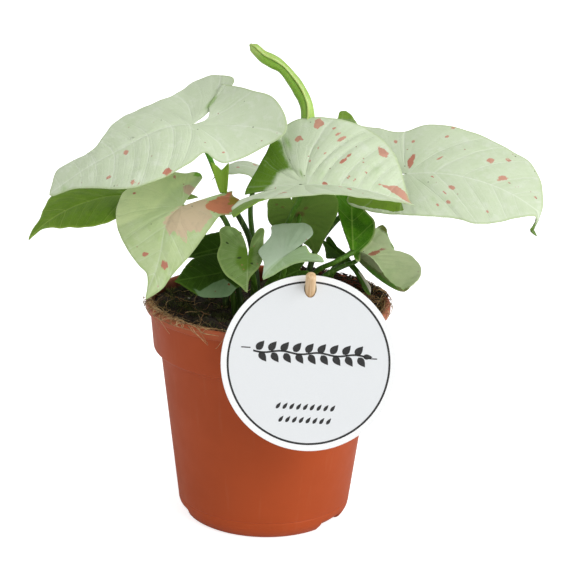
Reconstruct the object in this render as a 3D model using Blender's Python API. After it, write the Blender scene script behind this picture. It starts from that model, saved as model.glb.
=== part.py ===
"""Potted arrowhead plant with pale, pink-splashed leaves, in a 12 cm nursery pot.

The sub-parts are the pot, the peat, a round plant label on a wooden stick, and the
plant: each leaf is a blade and a petiole, and one new leaf is still rolled up.
The origin is the centre of the pot's foot, on the ground, with +Z up and the
label's side towards -Y. Driving dimensions are in millimetres, angles in degrees.
"""

import math
from dataclasses import dataclass

import bmesh
import bpy
import numpy as np

MM = 0.001

# Clearances between touching pieces
GAP = 0.3
HOLE_GAP = 0.35

# Pot
POT_HEIGHT = 110.0
RIM_RADIUS = 60.0
RIM_DEPTH = 4.6
COLLAR_TOP_RADIUS = 57.8
COLLAR_RADIUS = 56.0
COLLAR_Z = 86.0
STEP_Z = 84.4
BODY_TOP_RADIUS = 52.6
BODY_FOOT_RADIUS = 42.7
FOOT_ROUND = 4.0
RING_RADIUS = 39.4
RING_INNER_RADIUS = 34.5
RECESS = 2.5
FOOT_DISC_RADIUS = 12.0
FOOT_DRAFT = 1.2
WALL = 1.3
FLOOR_Z = 3.9
FLOOR_ROUND = 2.0
LIP_ROUND = 1.0
LIP_WIDTH = 2.2
INNER_STEP = 0.5
POT_SIDES = 48
SHARP_ANGLE = 38.0
NOTCH_COUNT = 3
NOTCH_START = 203.0
NOTCH_WIDTH = 16.0
NOTCH_HEIGHT = 3.4
NOTCH_TAPER = 0.55
NOTCH_REACH = 4.0
DRAIN_COUNT = 6
DRAIN_RADIUS = 3.5
DRAIN_RING = 23.0
DRAIN_SIDES = 12

# Peat
SOIL_Z = 102.6
SOIL_BUMP = 1.1
SOIL_RINGS = 4
ROOTING_DEPTH = 8.0
STRAIGHT_FOOT = 1.5
HOLE_SIDES = 10
CUT_OVERRUN = 5.0

# Round label and its stick
LABEL_RADIUS = 40.0
LABEL_THICK = 0.9
LABEL_CENTRE = (19.0, -64.0, 99.2)
LABEL_LEAN = 17.0
LABEL_SIDES = 56
HOLE_DROP = 6.2
STICK_RADIUS = 2.4
STICK_SLANT = 30.0
STICK_OUT = 9.5
STICK_LENGTH = 55.0
STICK_ROUND = 1.2
STICK_SIDES = 20

# Blades and petioles
BLADE_THICK = 0.8
PETIOLE_SIDES = 6
PETIOLE_POINTS = 11
PETIOLE_FOOT_RADIUS = 2.0
PETIOLE_TOP_RADIUS = 1.2
SEAT_GAP = 0.5
MARGIN_WAVES = 3.5
STEPS_PER_SPAN = 24
LEAST_ANGLE = 0.01

# Rolled new leaf: centre line from its petiole to its tip, and radii along it
ROLLED_LINE = (
    (14, 2, 180), (16, 0, 192), (16.4, -1, 199), (15.6, -1, 206), (12.2, -1, 213),
    (8, -1, 219), (4, -1, 223.5), (-1, -1, 226.5), (-5, -1, 228.5), (-9, -1, 232), (-13, -1, 234.5),
)
ROLLED_RADII = (1.5, 2.6, 2.9, 3.1, 3.5, 3.2, 2.5, 2.9, 3.0, 2.2, 0.7)
ROLLED_SIDES = 10

# Shares of the way from a half blade's widest place to its tip
HEAD_SHARES = (1.0, 0.9, 0.72, 0.5, 0.27)

POT_COLOUR = (0.42, 0.16, 0.075)
PEAT_COLOUR = (0.028, 0.018, 0.011)
CARD_COLOUR = (0.84, 0.85, 0.86)
WOOD_COLOUR = (0.72, 0.52, 0.33)
COLOURS = {
    "pale": (0.62, 0.72, 0.47),
    "green": (0.30, 0.45, 0.14),
    "dark": (0.08, 0.17, 0.03),
    "new": (0.40, 0.60, 0.08),
    "stalk": (0.12, 0.27, 0.04),
}


@dataclass
class Leaf:
    """One leaf.

    The midrib bows from joint to tip. left and right are the half outlines seen
    from the joint with the upper face up, each as five (along, across) points:
    the widest place, the waist, the lobe's shoulder, the lobe's end and the
    point inside the cleft. wave is the height of the margin's waves. route is the
    petiole's way up from its foot.
    """

    joint: tuple
    tip: tuple
    left: tuple
    right: tuple
    foot: tuple
    route: tuple
    colour: str = "pale"
    roll: float = 0.0
    arch: float = 0.0
    sway: float = 0.0
    fold: tuple = (0.0, 0.0)
    curl: tuple = (-10.0, -10.0)
    lift: tuple = (0.0, 0.0)
    taper: tuple = (1.25, 1.25)
    wave: float = 0.0
    around: int = 20
    rings: int = 5


LEAVES = {
    "upper_left": Leaf(
        joint=(-38, -10, 197), tip=(-103, -22, 165),
        left=((25, 29), (4, 22), (-2, 30), (-36, 30), (-34, 1)),
        right=((18, 29), (4, 29), (-8, 37), (-31, 29), (-31, 1)),
        roll=-18, arch=6, sway=-3, fold=(-5, 3), curl=(-12, -10), lift=(36, 27), taper=(1.25, 1.7), wave=0.5,
        foot=(-7, 2), route=((-8, 2, 129), (-10, 2, 140), (-16, 1, 152), (-23, 0, 164), (-31, -6, 184)),
    ),
    "front_left": Leaf(
        joint=(-42, -16, 159), tip=(-57, -40, 120),
        left=((22, 10), (1, 18), (-5, 27), (-17, 27), (-9, 11)),
        right=((15, 28), (7, 32), (-8, 33), (-16, 19), (-20, 1)),
        roll=-17, arch=5, sway=-4, fold=(-6, -5), curl=(-20, -16),
        foot=(-13, -3), route=((-17, -2, 128), (-20, -3, 146), (-26, -5, 155), (-35, -10, 157)),
    ),
    "front_centre": Leaf(
        joint=(16, -33, 175), tip=(66, -37, 167),
        left=((23, 35), (6, 39), (-11, 31), (-19, 19), (-28, 1)),
        right=((22, 24), (5, 25), (-10, 24), (-23, 38), (-22, 9)),
        roll=25, arch=4, fold=(21, 32), curl=(-6, -16), lift=(-8, -12), wave=0.5,
        foot=(6, -8), route=((7, -12, 132), (7, -15, 146), (10, -19, 157)),
    ),
    "right": Leaf(
        joint=(65, 0, 174), tip=(129, -17, 159),
        left=((42, 23), (7, 32), (-3, 29), (-29, 36), (-27, 8)),
        right=((36, 27), (6, 30), (-4, 28), (-28, 17), (-27, 9)),
        roll=33, arch=5, sway=-5, fold=(7, 5), curl=(-9, -9), wave=0.5,
        foot=(17, 8), route=((23, 15, 131), (32, 20, 144), (45, 17, 156), (58, 7, 167)),
    ),
    "far_left": Leaf(
        joint=(-60, 18, 155), tip=(-117, -5, 137),
        left=((20, 20), (6, 18), (-4, 20), (-24, 13), (-18, 4)),
        right=((23, 23), (6, 20), (-4, 20), (-28, 12), (-20, 4)),
        colour="dark", roll=-9, arch=8, sway=3, fold=(4, 5), curl=(-15, -13),
        foot=(-21, 13), route=((-26, 21, 124), (-37, 25, 138), (-51, 23, 147)),
    ),
    "heart": Leaf(
        joint=(-10, -29, 139), tip=(-10, -41, 126),
        left=((2, 7), (-1, 9), (-5, 8), (-17, 7), (-11, 2)),
        right=((5, 13), (0, 15), (-6, 14), (-17, 12), (-12, 3)),
        colour="green", roll=7, fold=(12, 11), curl=(-16, -16), around=12, rings=3,
        foot=(-6.5, -11.5), route=((-6.5, -16, 120), (-9, -24, 133)),
    ),
    "low_centre": Leaf(
        joint=(6, -38, 141), tip=(-3, -45, 132),
        left=((1.5, 6), (0, 9), (-7, 11), (-14, 14), (-11, 2)),
        right=((2, 11), (0, 14), (-8, 18), (-20, 10), (-16, 1)),
        roll=-16, sway=1, fold=(-21, 7), curl=(-20, -18), around=12, rings=3,
        foot=(4, -18), route=((4, -25, 120), (7, -33, 134)),
    ),
    "hanging": Leaf(
        joint=(14, -9, 155), tip=(23, 3, 132),
        left=((5, 15), (0, 15), (-5, 16), (-14, 13), (-7, 3)),
        right=((4, 17), (0, 18), (-5, 18), (-14, 14), (-7, 3)),
        colour="green", roll=-30, arch=1, around=12, rings=3,
        foot=(12, 0), route=((12, -3, 120), (13, -9, 134), (13, -13, 148)),
    ),
    "glossy": Leaf(
        joint=(40, -13, 137), tip=(39, 11, 167),
        left=((13, 10), (8, 10), (2, 5), (-7, 3), (-4, 1)),
        right=((25, 10), (15, 6.7), (7, 3.8), (3, 2.4), (-1, 1.5)),
        colour="dark", roll=187, arch=1, around=12, rings=3,
        foot=(15, -8), route=((24, -15, 124), (33, -20.5, 129.5)),
    ),
    "folded": Leaf(
        joint=(43, 0, 131), tip=(64, -30, 124),
        left=((13, 24), (2, 13), (-1, 13), (-8, 10), (-6, 4)),
        right=((10, 13), (1, 12), (-2, 9), (-8, 7), (-6, 3)),
        colour="green", roll=-9, arch=-4, sway=-4, fold=(32, 52), curl=(-12, -8), around=12, rings=3,
        foot=(19, -2), route=((26, -4, 122), (34, -3, 127)),
    ),
    "narrow": Leaf(
        joint=(37, 11, 128), tip=(50, 6, 111),
        left=((8, 4), (3, 4), (-2, 5), (-10, 6), (-6, 2)),
        right=((8, 4), (3, 4), (-2, 5), (-10, 8), (-6, 2)),
        colour="dark", roll=30, arch=2, fold=(20, 20), curl=(0, 0), around=10, rings=2,
        foot=(27, 10), route=((30, 12, 117),),
    ),
    "low_left": Leaf(
        joint=(-22, -15, 127), tip=(-45, -19, 123),
        left=((9, 13), (0, 14), (-4, 11), (-12, 7), (-7, 3)),
        right=((9, 13), (0, 13), (-5, 12), (-12, 8), (-7, 3)),
        colour="dark", roll=-36, fold=(2, 0), curl=(-9, -10), around=12, rings=3,
        foot=(-16, -9), route=((-18, -10, 117),),
    ),
    "shaded_left": Leaf(
        joint=(-21, 14, 132), tip=(-42, 12, 126),
        left=((8, 4), (2, 5), (-3, 6), (-9, 6), (-5, 2)),
        right=((8, 9), (2, 9), (-3, 9), (-9, 6), (-5, 2)),
        colour="dark", roll=-50, arch=1, around=10, rings=2,
        foot=(-14, 9), route=((-16, 17, 122), (-18, 18, 129)),
    ),
    "shaded_centre": Leaf(
        joint=(14, -19, 130), tip=(-3, -20, 121),
        left=((7, 6), (2, 6), (-2, 6), (-6, 5), (-4, 2)),
        right=((7, 6), (2, 6), (-2, 6), (-6, 5), (-4, 2)),
        colour="dark", roll=-60, arch=1, around=10, rings=2,
        foot=(13, -13), route=((14, -14, 118),),
    ),
    "upright": Leaf(
        joint=(48, 15, 133), tip=(57, 18, 145),
        left=((6, 6), (2, 7), (-2, 7), (-5, 5), (-3, 2)),
        right=((6, 8), (2, 8), (-2, 8), (-5, 5), (-3, 2)),
        roll=75, fold=(8, 8), around=10, rings=2,
        foot=(28, 17), route=((32, 21, 119), (42, 22, 129)),
    ),
    "back_left": Leaf(
        joint=(-5, 36, 165), tip=(-30, 41, 159),
        left=((12, 13), (4, 11), (-3, 14), (-18, 12), (-11, 4)),
        right=((12, 13), (4, 12), (-3, 14), (-18, 12), (-11, 4)),
        roll=-6, arch=6, fold=(3, -2), curl=(-15, -17), around=12, rings=3,
        foot=(-5, 10), route=((-8, 17, 132), (-10, 26, 149), (-8, 33, 160)),
    ),
    "back_right": Leaf(
        joint=(33, 44, 174), tip=(37, 84, 188),
        left=((16, 14), (5, 15), (-3, 16), (-20, 12), (-13, 4)),
        right=((16, 14), (5, 15), (-3, 16), (-20, 12), (-13, 4)),
        colour="green", roll=4, fold=(4, 4), curl=(-16, -16), taper=(1.8, 1.8), around=12, rings=3,
        foot=(10, 14), route=((14, 20, 128), (21, 32, 148), (29, 42, 165)),
    ),
}

ROLLED_FOOT = (11, 5)
ROLLED_ROUTE = ((10, 6, 133), (11, 6, 148), (12, 4, 166))


def unit(vector):
    """Return the vector, or each row's vector, at length one."""
    vector = np.asarray(vector, float)
    return vector / np.linalg.norm(vector, axis=-1, keepdims=True)


def resampled(points, count):
    """Return count points spread evenly along a run of points."""
    steps = np.linalg.norm(np.diff(points, axis=0), axis=1)
    run = np.concatenate([[0.0], np.cumsum(steps)])
    places = np.linspace(0.0, run[-1], count)
    columns = [np.interp(places, run, points[:, k]) for k in range(points.shape[1])]
    return np.stack(columns, axis=-1)


def smooth_curve(points, count):
    """Return count points on the centripetal Catmull-Rom curve through the points."""
    points = np.asarray(points, float)
    ends = (2 * points[0] - points[1], 2 * points[-1] - points[-2])
    points = np.vstack([ends[0], points, ends[1]])
    gaps = np.sqrt(np.maximum(np.linalg.norm(np.diff(points, axis=0), axis=1), 1e-6))
    knots = np.concatenate([[0.0], np.cumsum(gaps)])
    pieces = []
    for i in range(1, len(points) - 2):
        t = np.linspace(knots[i], knots[i + 1], STEPS_PER_SPAN, endpoint=False)[:, None]
        k0, k1, k2, k3 = knots[i - 1:i + 3]
        p0, p1, p2, p3 = points[i - 1:i + 3]
        a1 = (k1 - t) / (k1 - k0) * p0 + (t - k0) / (k1 - k0) * p1
        a2 = (k2 - t) / (k2 - k1) * p1 + (t - k1) / (k2 - k1) * p2
        a3 = (k3 - t) / (k3 - k2) * p2 + (t - k2) / (k3 - k2) * p3
        b1 = (k2 - t) / (k2 - k0) * a1 + (t - k0) / (k2 - k0) * a2
        b2 = (k3 - t) / (k3 - k1) * a2 + (t - k1) / (k3 - k1) * a3
        pieces.append((k2 - t) / (k2 - k1) * b1 + (t - k1) / (k2 - k1) * b2)
    pieces.append(points[-2][None])
    return resampled(np.vstack(pieces), count)


def leaf_length(leaf):
    """Return the straight distance from the joint to the tip."""
    return float(np.linalg.norm(np.subtract(leaf.tip, leaf.joint)))


def leaf_axes(leaf):
    """Return the unit vectors along the midrib, to the right and off the upper face."""
    along = unit(np.subtract(leaf.tip, leaf.joint))
    level = unit(np.cross(along, (0.0, 0.0, 1.0)))
    above = np.cross(level, along)
    roll = math.radians(leaf.roll)
    right = math.cos(roll) * level - math.sin(roll) * above
    return along, right, np.cross(right, along)


def half_outline(leaf, side, count):
    """Return one half's margin from the tip to the cleft, as (along, across) points.

    Ahead of the widest place the margin falls to the tip as a power of a cosine.
    The cleft's own edge is the straight line from its inner point to the joint.
    """
    length = leaf_length(leaf)
    marks = (leaf.left, leaf.right)[side]
    wide = marks[0]
    head = []
    for share in HEAD_SHARES:
        across = wide[1] * math.cos(math.pi * share / 2) ** leaf.taper[side]
        head.append((wide[0] + share * (length - wide[0]), across))
    return smooth_curve(head + list(marks), count)


def midrib_frame(leaf, along):
    """Return the midrib's points and the blade's frame there: heading, level, normal.

    The midrib is a parabola from joint to tip, raised by arch and bent sideways by
    sway. Behind the joint it stays at the joint.
    """
    _, right, normal = leaf_axes(leaf)
    joint, tip = np.array(leaf.joint, float), np.array(leaf.tip, float)
    handle = (joint + tip) / 2 + 2 * leaf.arch * normal + 2 * leaf.sway * right
    share = np.clip(np.asarray(along) / leaf_length(leaf), 0.0, None)[..., None]
    centre = (1 - share) ** 2 * joint + 2 * share * (1 - share) * handle + share ** 2 * tip
    heading = unit(2 * (1 - share) * (handle - joint) + 2 * share * (tip - handle))
    level = unit(right - (heading @ right)[..., None] * heading)
    return centre, heading, level, np.cross(level, heading)


def place_on_leaf(leaf, along, across, side):
    """Return where (along, across) points of one half lie in space.

    Behind the joint the frame goes on as an arc that lift bends up. Across it, the
    blade leaves at the fold angle and bends evenly by curl up to the margin.
    """
    centre, heading, level, normal = midrib_frame(leaf, along)
    marks = (leaf.left, leaf.right)[side]
    lobe = max(-min(point[0] for point in marks), 1.0)
    half_width = max(point[1] for point in marks)
    behind = np.clip(-along, 0.0, None)
    lift = math.radians(leaf.lift[side] or LEAST_ANGLE)
    bend = lift / lobe * behind
    centre = centre - (np.sin(bend) * lobe / lift)[..., None] * heading
    centre = centre + ((1 - np.cos(bend)) * lobe / lift)[..., None] * normal
    normal = normal * np.cos(bend)[..., None] + heading * np.sin(bend)[..., None]
    fold = math.radians(leaf.fold[side])
    rate = math.radians(leaf.curl[side] or LEAST_ANGLE) / half_width
    outward = (np.sin(fold + rate * across) - math.sin(fold)) / rate
    upward = (math.cos(fold) - np.cos(fold + rate * across)) / rate
    sign = (-1.0, 1.0)[side]
    return centre + (sign * outward)[..., None] * level + upward[..., None] * normal


def blade_surface(leaf):
    """Return the blade's middle surface: its points and its triangles.

    The points fan out from the joint in rings, each ring running from the left
    side of the cleft round the tip to the right side. A sine wave that grows with
    the cube of the way to the margin lifts and lowers the margin.
    """
    left = half_outline(leaf, 0, leaf.around)[::-1]
    right = half_outline(leaf, 1, leaf.around)[1:]
    shares = (np.arange(leaf.rings) + 1.0)[:, None, None] / leaf.rings
    left, right = shares * left, shares * right
    left = place_on_leaf(leaf, left[..., 0], left[..., 1], 0)
    right = place_on_leaf(leaf, right[..., 0], right[..., 1], 1)
    rows = np.concatenate([left, right], axis=1)
    across = rows.shape[1]
    points = np.vstack([np.array(leaf.joint, float)[None], rows.reshape(-1, 3)])
    turns = MARGIN_WAVES * math.tau * np.linspace(-1.0, 1.0, across)
    heights = leaf.wave * shares[..., 0] ** 3 * np.sin(turns)
    triangles = [(0, 2 + j, 1 + j) for j in range(across - 1)]
    for ring in range(leaf.rings - 1):
        start = 1 + ring * across
        for j in range(start, start + across - 1):
            triangles.append((j, j + across + 1, j + across))
            triangles.append((j, j + 1, j + across + 1))
    triangles = np.array(triangles)
    points[1:] += heights.reshape(-1, 1) * vertex_normals(points, triangles)[1:]
    return points, triangles, across


def vertex_normals(points, triangles):
    """Return each point's normal, averaged over the triangles that meet there."""
    corners = points[triangles]
    faces = np.cross(corners[:, 1] - corners[:, 0], corners[:, 2] - corners[:, 0])
    normals = np.zeros_like(points)
    for k in range(3):
        np.add.at(normals, triangles[:, k], faces)
    return unit(normals)


def blade_solid(leaf):
    """Return the blade as a closed sheet: its points and its faces."""
    points, triangles, across = blade_surface(leaf)
    normals = vertex_normals(points, triangles)
    half = BLADE_THICK / 2
    count = len(points)
    solid = np.vstack([points + half * normals, points - half * normals])
    faces = [tuple(t) for t in triangles] + [tuple(t[::-1] + count) for t in triangles]
    margin = list(range(1 + (leaf.rings - 1) * across, count))
    left_edge = [1 + ring * across for ring in range(leaf.rings - 1)]
    right_edge = [start + across - 1 for start in left_edge]
    loop = [0] + left_edge + margin + right_edge[::-1]
    for a, b in zip(loop, loop[1:] + loop[:1]):
        faces += [(a, b, b + count), (a, b + count, a + count)]
    return solid, faces


def material(name, colour, roughness=0.5):
    """Return a plain Principled material."""
    shader = bpy.data.materials.new(name)
    shader.use_nodes = True
    principled = shader.node_tree.nodes["Principled BSDF"]
    principled.inputs["Base Color"].default_value = (*colour, 1.0)
    principled.inputs["Roughness"].default_value = roughness
    return shader


def add_object(name, mesh, shader):
    """Put a mesh in the scene under a name, with one material."""
    mesh.materials.append(shader)
    thing = bpy.data.objects.new(name, mesh)
    bpy.context.collection.objects.link(thing)
    return thing


def mesh_from(name, points, faces):
    """Return a mesh of points in millimetres, smooth shaded."""
    mesh = bpy.data.meshes.new(name)
    mesh.from_pydata((np.asarray(points) * MM).tolist(), [], [tuple(map(int, f)) for f in faces])
    mesh.shade_smooth()
    mesh.set_sharp_from_angle(angle=math.radians(SHARP_ANGLE))
    return mesh


def turned_mesh(name, profile, sides):
    """Spin a closed (radius, height) profile in millimetres about Z.

    The profile starts and ends on the axis and has its outside on the right.
    """
    shape = bmesh.new()
    verts = [shape.verts.new((r * MM, 0.0, z * MM)) for r, z in profile]
    edges = [shape.edges.new(pair) for pair in zip(verts, verts[1:])]
    bmesh.ops.spin(
        shape, geom=verts + edges, cent=(0, 0, 0), axis=(0, 0, 1),
        angle=math.tau, steps=sides, use_merge=True,
    )
    bmesh.ops.remove_doubles(shape, verts=shape.verts[:], dist=1e-6)
    bmesh.ops.recalc_face_normals(shape, faces=shape.faces[:])
    mesh = bpy.data.meshes.new(name)
    shape.to_mesh(mesh)
    shape.free()
    mesh.shade_smooth()
    mesh.set_sharp_from_angle(angle=math.radians(SHARP_ANGLE))
    return mesh


def cylinder(name, radius, start, end, sides):
    """Return a cylinder object between two points in millimetres."""
    start, end = np.array(start, float), np.array(end, float)
    axis = unit(end - start)
    side = unit(np.cross(axis, (1.0, 0.3, 0.0)))
    across = np.cross(axis, side)
    turns = np.arange(sides) * math.tau / sides
    circle = radius * (np.cos(turns)[:, None] * side + np.sin(turns)[:, None] * across)
    points = np.vstack([start + circle, end + circle])
    faces = [tuple(range(sides))[::-1], tuple(range(sides, 2 * sides))]
    for j in range(sides):
        k = (j + 1) % sides
        faces.append((j, k, k + sides, j + sides))
    thing = bpy.data.objects.new(name, mesh_from(name, points, faces))
    bpy.context.collection.objects.link(thing)
    return thing


def cut(target, cutters):
    """Cut every cutter out of the target, then remove the cutters."""
    group = bpy.data.collections.new(target.name + "_cutters")
    for cutter in cutters:
        group.objects.link(cutter)
        cutter.hide_render = True
        cutter.display_type = "WIRE"
    boolean = target.modifiers.new("cut", "BOOLEAN")
    boolean.operation = "DIFFERENCE"
    boolean.solver = "EXACT"
    boolean.operand_type = "COLLECTION"
    boolean.collection = group
    depsgraph = bpy.context.evaluated_depsgraph_get()
    mesh = bpy.data.meshes.new_from_object(target.evaluated_get(depsgraph))
    target.modifiers.clear()
    target.data = mesh
    for cutter in cutters:
        bpy.data.objects.remove(cutter)
    bpy.data.collections.remove(group)


def pot_inner_radius(z):
    """Return the pot's inside radius at a height."""
    heights = (FLOOR_Z, STEP_Z, COLLAR_Z, POT_HEIGHT - RIM_DEPTH)
    outside = (BODY_FOOT_RADIUS, BODY_TOP_RADIUS, COLLAR_RADIUS, COLLAR_TOP_RADIUS)
    return float(np.interp(z, heights, outside)) - WALL


def pot_floor_profile(clearance):
    """Return the inside of the pot from its floor's middle to its collar, less a clearance."""
    floor_radius = pot_inner_radius(FLOOR_Z) - clearance
    return [
        (0.0, FLOOR_Z + clearance), (floor_radius - FLOOR_ROUND, FLOOR_Z + clearance),
        (floor_radius, FLOOR_Z + FLOOR_ROUND), (pot_inner_radius(STEP_Z) - clearance, STEP_Z - INNER_STEP),
        (pot_inner_radius(COLLAR_Z) - clearance, COLLAR_Z + INNER_STEP),
    ]


def build_pot():
    """Make the tapered pot with its collar, rolled rim, foot ring and drain holes."""
    lip_z = POT_HEIGHT - RIM_DEPTH
    foot = [
        (0.0, 0.0), (FOOT_DISC_RADIUS, 0.0), (FOOT_DISC_RADIUS + FOOT_DRAFT, RECESS),
        (RING_INNER_RADIUS - FOOT_DRAFT, RECESS), (RING_INNER_RADIUS, 0.0), (RING_RADIUS, 0.0),
        (BODY_FOOT_RADIUS - FOOT_ROUND / 4, FOOT_ROUND / 3), (BODY_FOOT_RADIUS, FOOT_ROUND),
    ]
    outside = [
        (BODY_TOP_RADIUS, STEP_Z), (COLLAR_RADIUS, COLLAR_Z), (COLLAR_TOP_RADIUS, lip_z - LIP_ROUND / 2),
        (RIM_RADIUS - LIP_ROUND / 2, lip_z), (RIM_RADIUS, lip_z + LIP_ROUND),
        (RIM_RADIUS, POT_HEIGHT - LIP_ROUND), (RIM_RADIUS - LIP_ROUND, POT_HEIGHT),
    ]
    inside = [(RIM_RADIUS - LIP_WIDTH, POT_HEIGHT), (pot_inner_radius(lip_z), lip_z)]
    inside += pot_floor_profile(0.0)[::-1]
    profile = foot + outside + inside
    shader = material("terracotta plastic", POT_COLOUR, 0.45)
    pot = add_object("pot", turned_mesh("pot", profile, POT_SIDES), shader)
    cutters = []
    for i in range(DRAIN_COUNT):
        turn = math.tau * (i + 0.5) / DRAIN_COUNT
        x, y = DRAIN_RING * math.cos(turn), DRAIN_RING * math.sin(turn)
        low, high = (x, y, -CUT_OVERRUN), (x, y, FLOOR_Z + CUT_OVERRUN)
        cutters.append(cylinder("drain", DRAIN_RADIUS, low, high, DRAIN_SIDES))
    for i in range(NOTCH_COUNT):
        turn = math.radians(NOTCH_START) + math.tau * i / NOTCH_COUNT
        cutters.append(notch_cutter(turn))
    cut(pot, cutters)
    return pot


def notch_cutter(turn):
    """Return the arched wedge that opens the foot ring in one direction."""
    near, far = RING_INNER_RADIUS - NOTCH_REACH, BODY_FOOT_RADIUS + NOTCH_REACH
    wide = NOTCH_WIDTH / 2
    narrow = NOTCH_TAPER * wide
    section = ((-wide, -1.0), (wide, -1.0), (narrow, NOTCH_HEIGHT), (-narrow, NOTCH_HEIGHT))
    points = []
    for reach in (near, far):
        for across, z in section:
            x = reach * math.cos(turn) - across * math.sin(turn)
            y = reach * math.sin(turn) + across * math.cos(turn)
            points.append((x, y, z))
    faces = [(3, 2, 1, 0), (4, 5, 6, 7)]
    for j in range(4):
        k = (j + 1) % 4
        faces.append((j, k, k + 4, j + 4))
    thing = bpy.data.objects.new("notch", mesh_from("notch", points, faces))
    bpy.context.collection.objects.link(thing)
    return thing


def soil_height(x, y):
    """Return the peat's height above a point, a few slow waves over a level bed."""
    waves = math.sin(0.13 * x + 1.1) * math.cos(0.11 * y - 0.4) + 0.5 * math.sin(0.23 * (x + y))
    return SOIL_Z + SOIL_BUMP * waves


def build_soil(holes):
    """Make the peat that fills the pot, with a plain hole for each thing stuck in it."""
    bottom, *walls = pot_floor_profile(GAP)
    brim = pot_inner_radius(SOIL_Z - SOIL_BUMP) - GAP
    turns = np.arange(POT_SIDES) * math.tau / POT_SIDES
    points = [(0.0, 0.0, bottom[1])]
    for radius, z in walls:
        points += [(radius * math.cos(t), radius * math.sin(t), z) for t in turns]
    for ring in range(SOIL_RINGS):
        radius = brim * (1.0 - ring / SOIL_RINGS)
        for t in turns:
            x, y = radius * math.cos(t), radius * math.sin(t)
            points.append((x, y, soil_height(x, y)))
    points.append((0.0, 0.0, soil_height(0.0, 0.0)))
    faces = []
    for j in range(POT_SIDES):
        k = (j + 1) % POT_SIDES
        faces.append((0, 1 + k, 1 + j))
        for ring in range(len(walls) + SOIL_RINGS - 1):
            low, high = 1 + ring * POT_SIDES, 1 + (ring + 1) * POT_SIDES
            faces += [(low + j, low + k, high + k), (low + j, high + k, high + j)]
        top = 1 + (len(walls) + SOIL_RINGS - 1) * POT_SIDES
        faces.append((top + j, top + k, len(points) - 1))
    soil = add_object("soil", mesh_from("soil", points, faces), material("dark peat", PEAT_COLOUR, 0.95))
    cut(soil, [cylinder("hole", radius, start, end, HOLE_SIDES) for radius, start, end in holes])
    return soil


def label_axes():
    """Return the unit vectors up along the leaning label and out of its face."""
    lean = math.radians(LABEL_LEAN)
    return np.array((0.0, math.sin(lean), math.cos(lean))), np.array((0.0, -math.cos(lean), math.sin(lean)))


def stick_line():
    """Return the stick's two ends: in the peat, and in front of the label."""
    up, _ = label_axes()
    hole = np.array(LABEL_CENTRE) + (LABEL_RADIUS - HOLE_DROP) * up
    slant = math.radians(STICK_SLANT)
    axis = np.array((0.0, -math.sin(slant), math.cos(slant)))
    top = hole + STICK_OUT * axis
    return top - STICK_LENGTH * axis, top


def build_label():
    """Make the round card that leans on the rim, punched where the stick goes through."""
    up, out = label_axes()
    centre = np.array(LABEL_CENTRE)
    half = LABEL_THICK / 2
    label = cylinder("label", LABEL_RADIUS, centre - half * out, centre + half * out, LABEL_SIDES)
    label.data.materials.append(material("white card", CARD_COLOUR, 0.4))
    low, high = stick_line()
    high = high + CUT_OVERRUN * unit(high - low)
    cut(label, [cylinder("punch", STICK_RADIUS + HOLE_GAP, low, high, STICK_SIDES)])
    return label


def build_stick():
    """Make the round wooden stick, with its front end rounded over."""
    low, high = stick_line()
    stick = cylinder("label_stick", STICK_RADIUS, low, high, STICK_SIDES)
    stick.data.materials.append(material("pale wood", WOOD_COLOUR, 0.6))
    bevel = stick.modifiers.new("round", "BEVEL")
    bevel.width = STICK_ROUND * MM
    bevel.segments = 3
    bevel.limit_method = "ANGLE"
    bevel.angle_limit = math.radians(60)
    return stick


def petiole_top(leaf):
    """Return the petiole's end, just clear of the blade's underside at the joint."""
    joint, _, _, normal = midrib_frame(leaf, 0.0)
    heading = unit(joint - np.array(leaf.route[-1], float))
    slope = math.sqrt(max(1.0 - float(heading @ normal) ** 2, 0.0))
    return joint - (BLADE_THICK / 2 + SEAT_GAP + PETIOLE_TOP_RADIUS * slope) * normal


def rooted_route(foot, route, end):
    """Return a petiole's whole way: straight up out of the peat, then to its end."""
    x, y = foot
    z = soil_height(x, y)
    start = [(x, y, z - ROOTING_DEPTH + GAP), (x, y, z - ROOTING_DEPTH / 2), (x, y, z + STRAIGHT_FOOT)]
    return start + [tuple(point) for point in route] + [tuple(end)]


def tube_radii(count):
    """Return the petiole's radius at each point, thick at the foot."""
    share = np.linspace(0.0, 1.0, count)
    return PETIOLE_FOOT_RADIUS + (PETIOLE_TOP_RADIUS - PETIOLE_FOOT_RADIUS) * np.sqrt(share)


def build_tube(name, line, radii, sides, shader):
    """Make a closed tube of changing radius along a line of points."""
    line = np.asarray(line, float)
    headings = unit(np.gradient(line, axis=0))
    side = unit(np.cross(headings[0], (0.0, 1.0, 0.2)))
    turns = np.arange(sides) * math.tau / sides
    points = []
    for centre, heading, radius in zip(line, headings, radii):
        side = unit(side - (side @ heading) * heading)
        other = np.cross(heading, side)
        points.append(centre + radius * (np.cos(turns)[:, None] * side + np.sin(turns)[:, None] * other))
    faces = [tuple(range(sides))[::-1]]
    last = (len(line) - 1) * sides
    faces.append(tuple(range(last, last + sides)))
    for ring in range(0, last, sides):
        for j in range(sides):
            k = (j + 1) % sides
            faces.append((ring + j, ring + k, ring + k + sides, ring + j + sides))
    return add_object(name, mesh_from(name, np.vstack(points), faces), shader)


def build_leaf(name, leaf, shaders):
    """Make one leaf's blade and petiole."""
    points, faces = blade_solid(leaf)
    add_object("leaf_" + name, mesh_from("leaf_" + name, points, faces), shaders[leaf.colour])
    line = smooth_curve(rooted_route(leaf.foot, leaf.route, petiole_top(leaf)), PETIOLE_POINTS)
    build_tube("petiole_" + name, line, tube_radii(PETIOLE_POINTS), PETIOLE_SIDES, shaders["stalk"])


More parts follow.
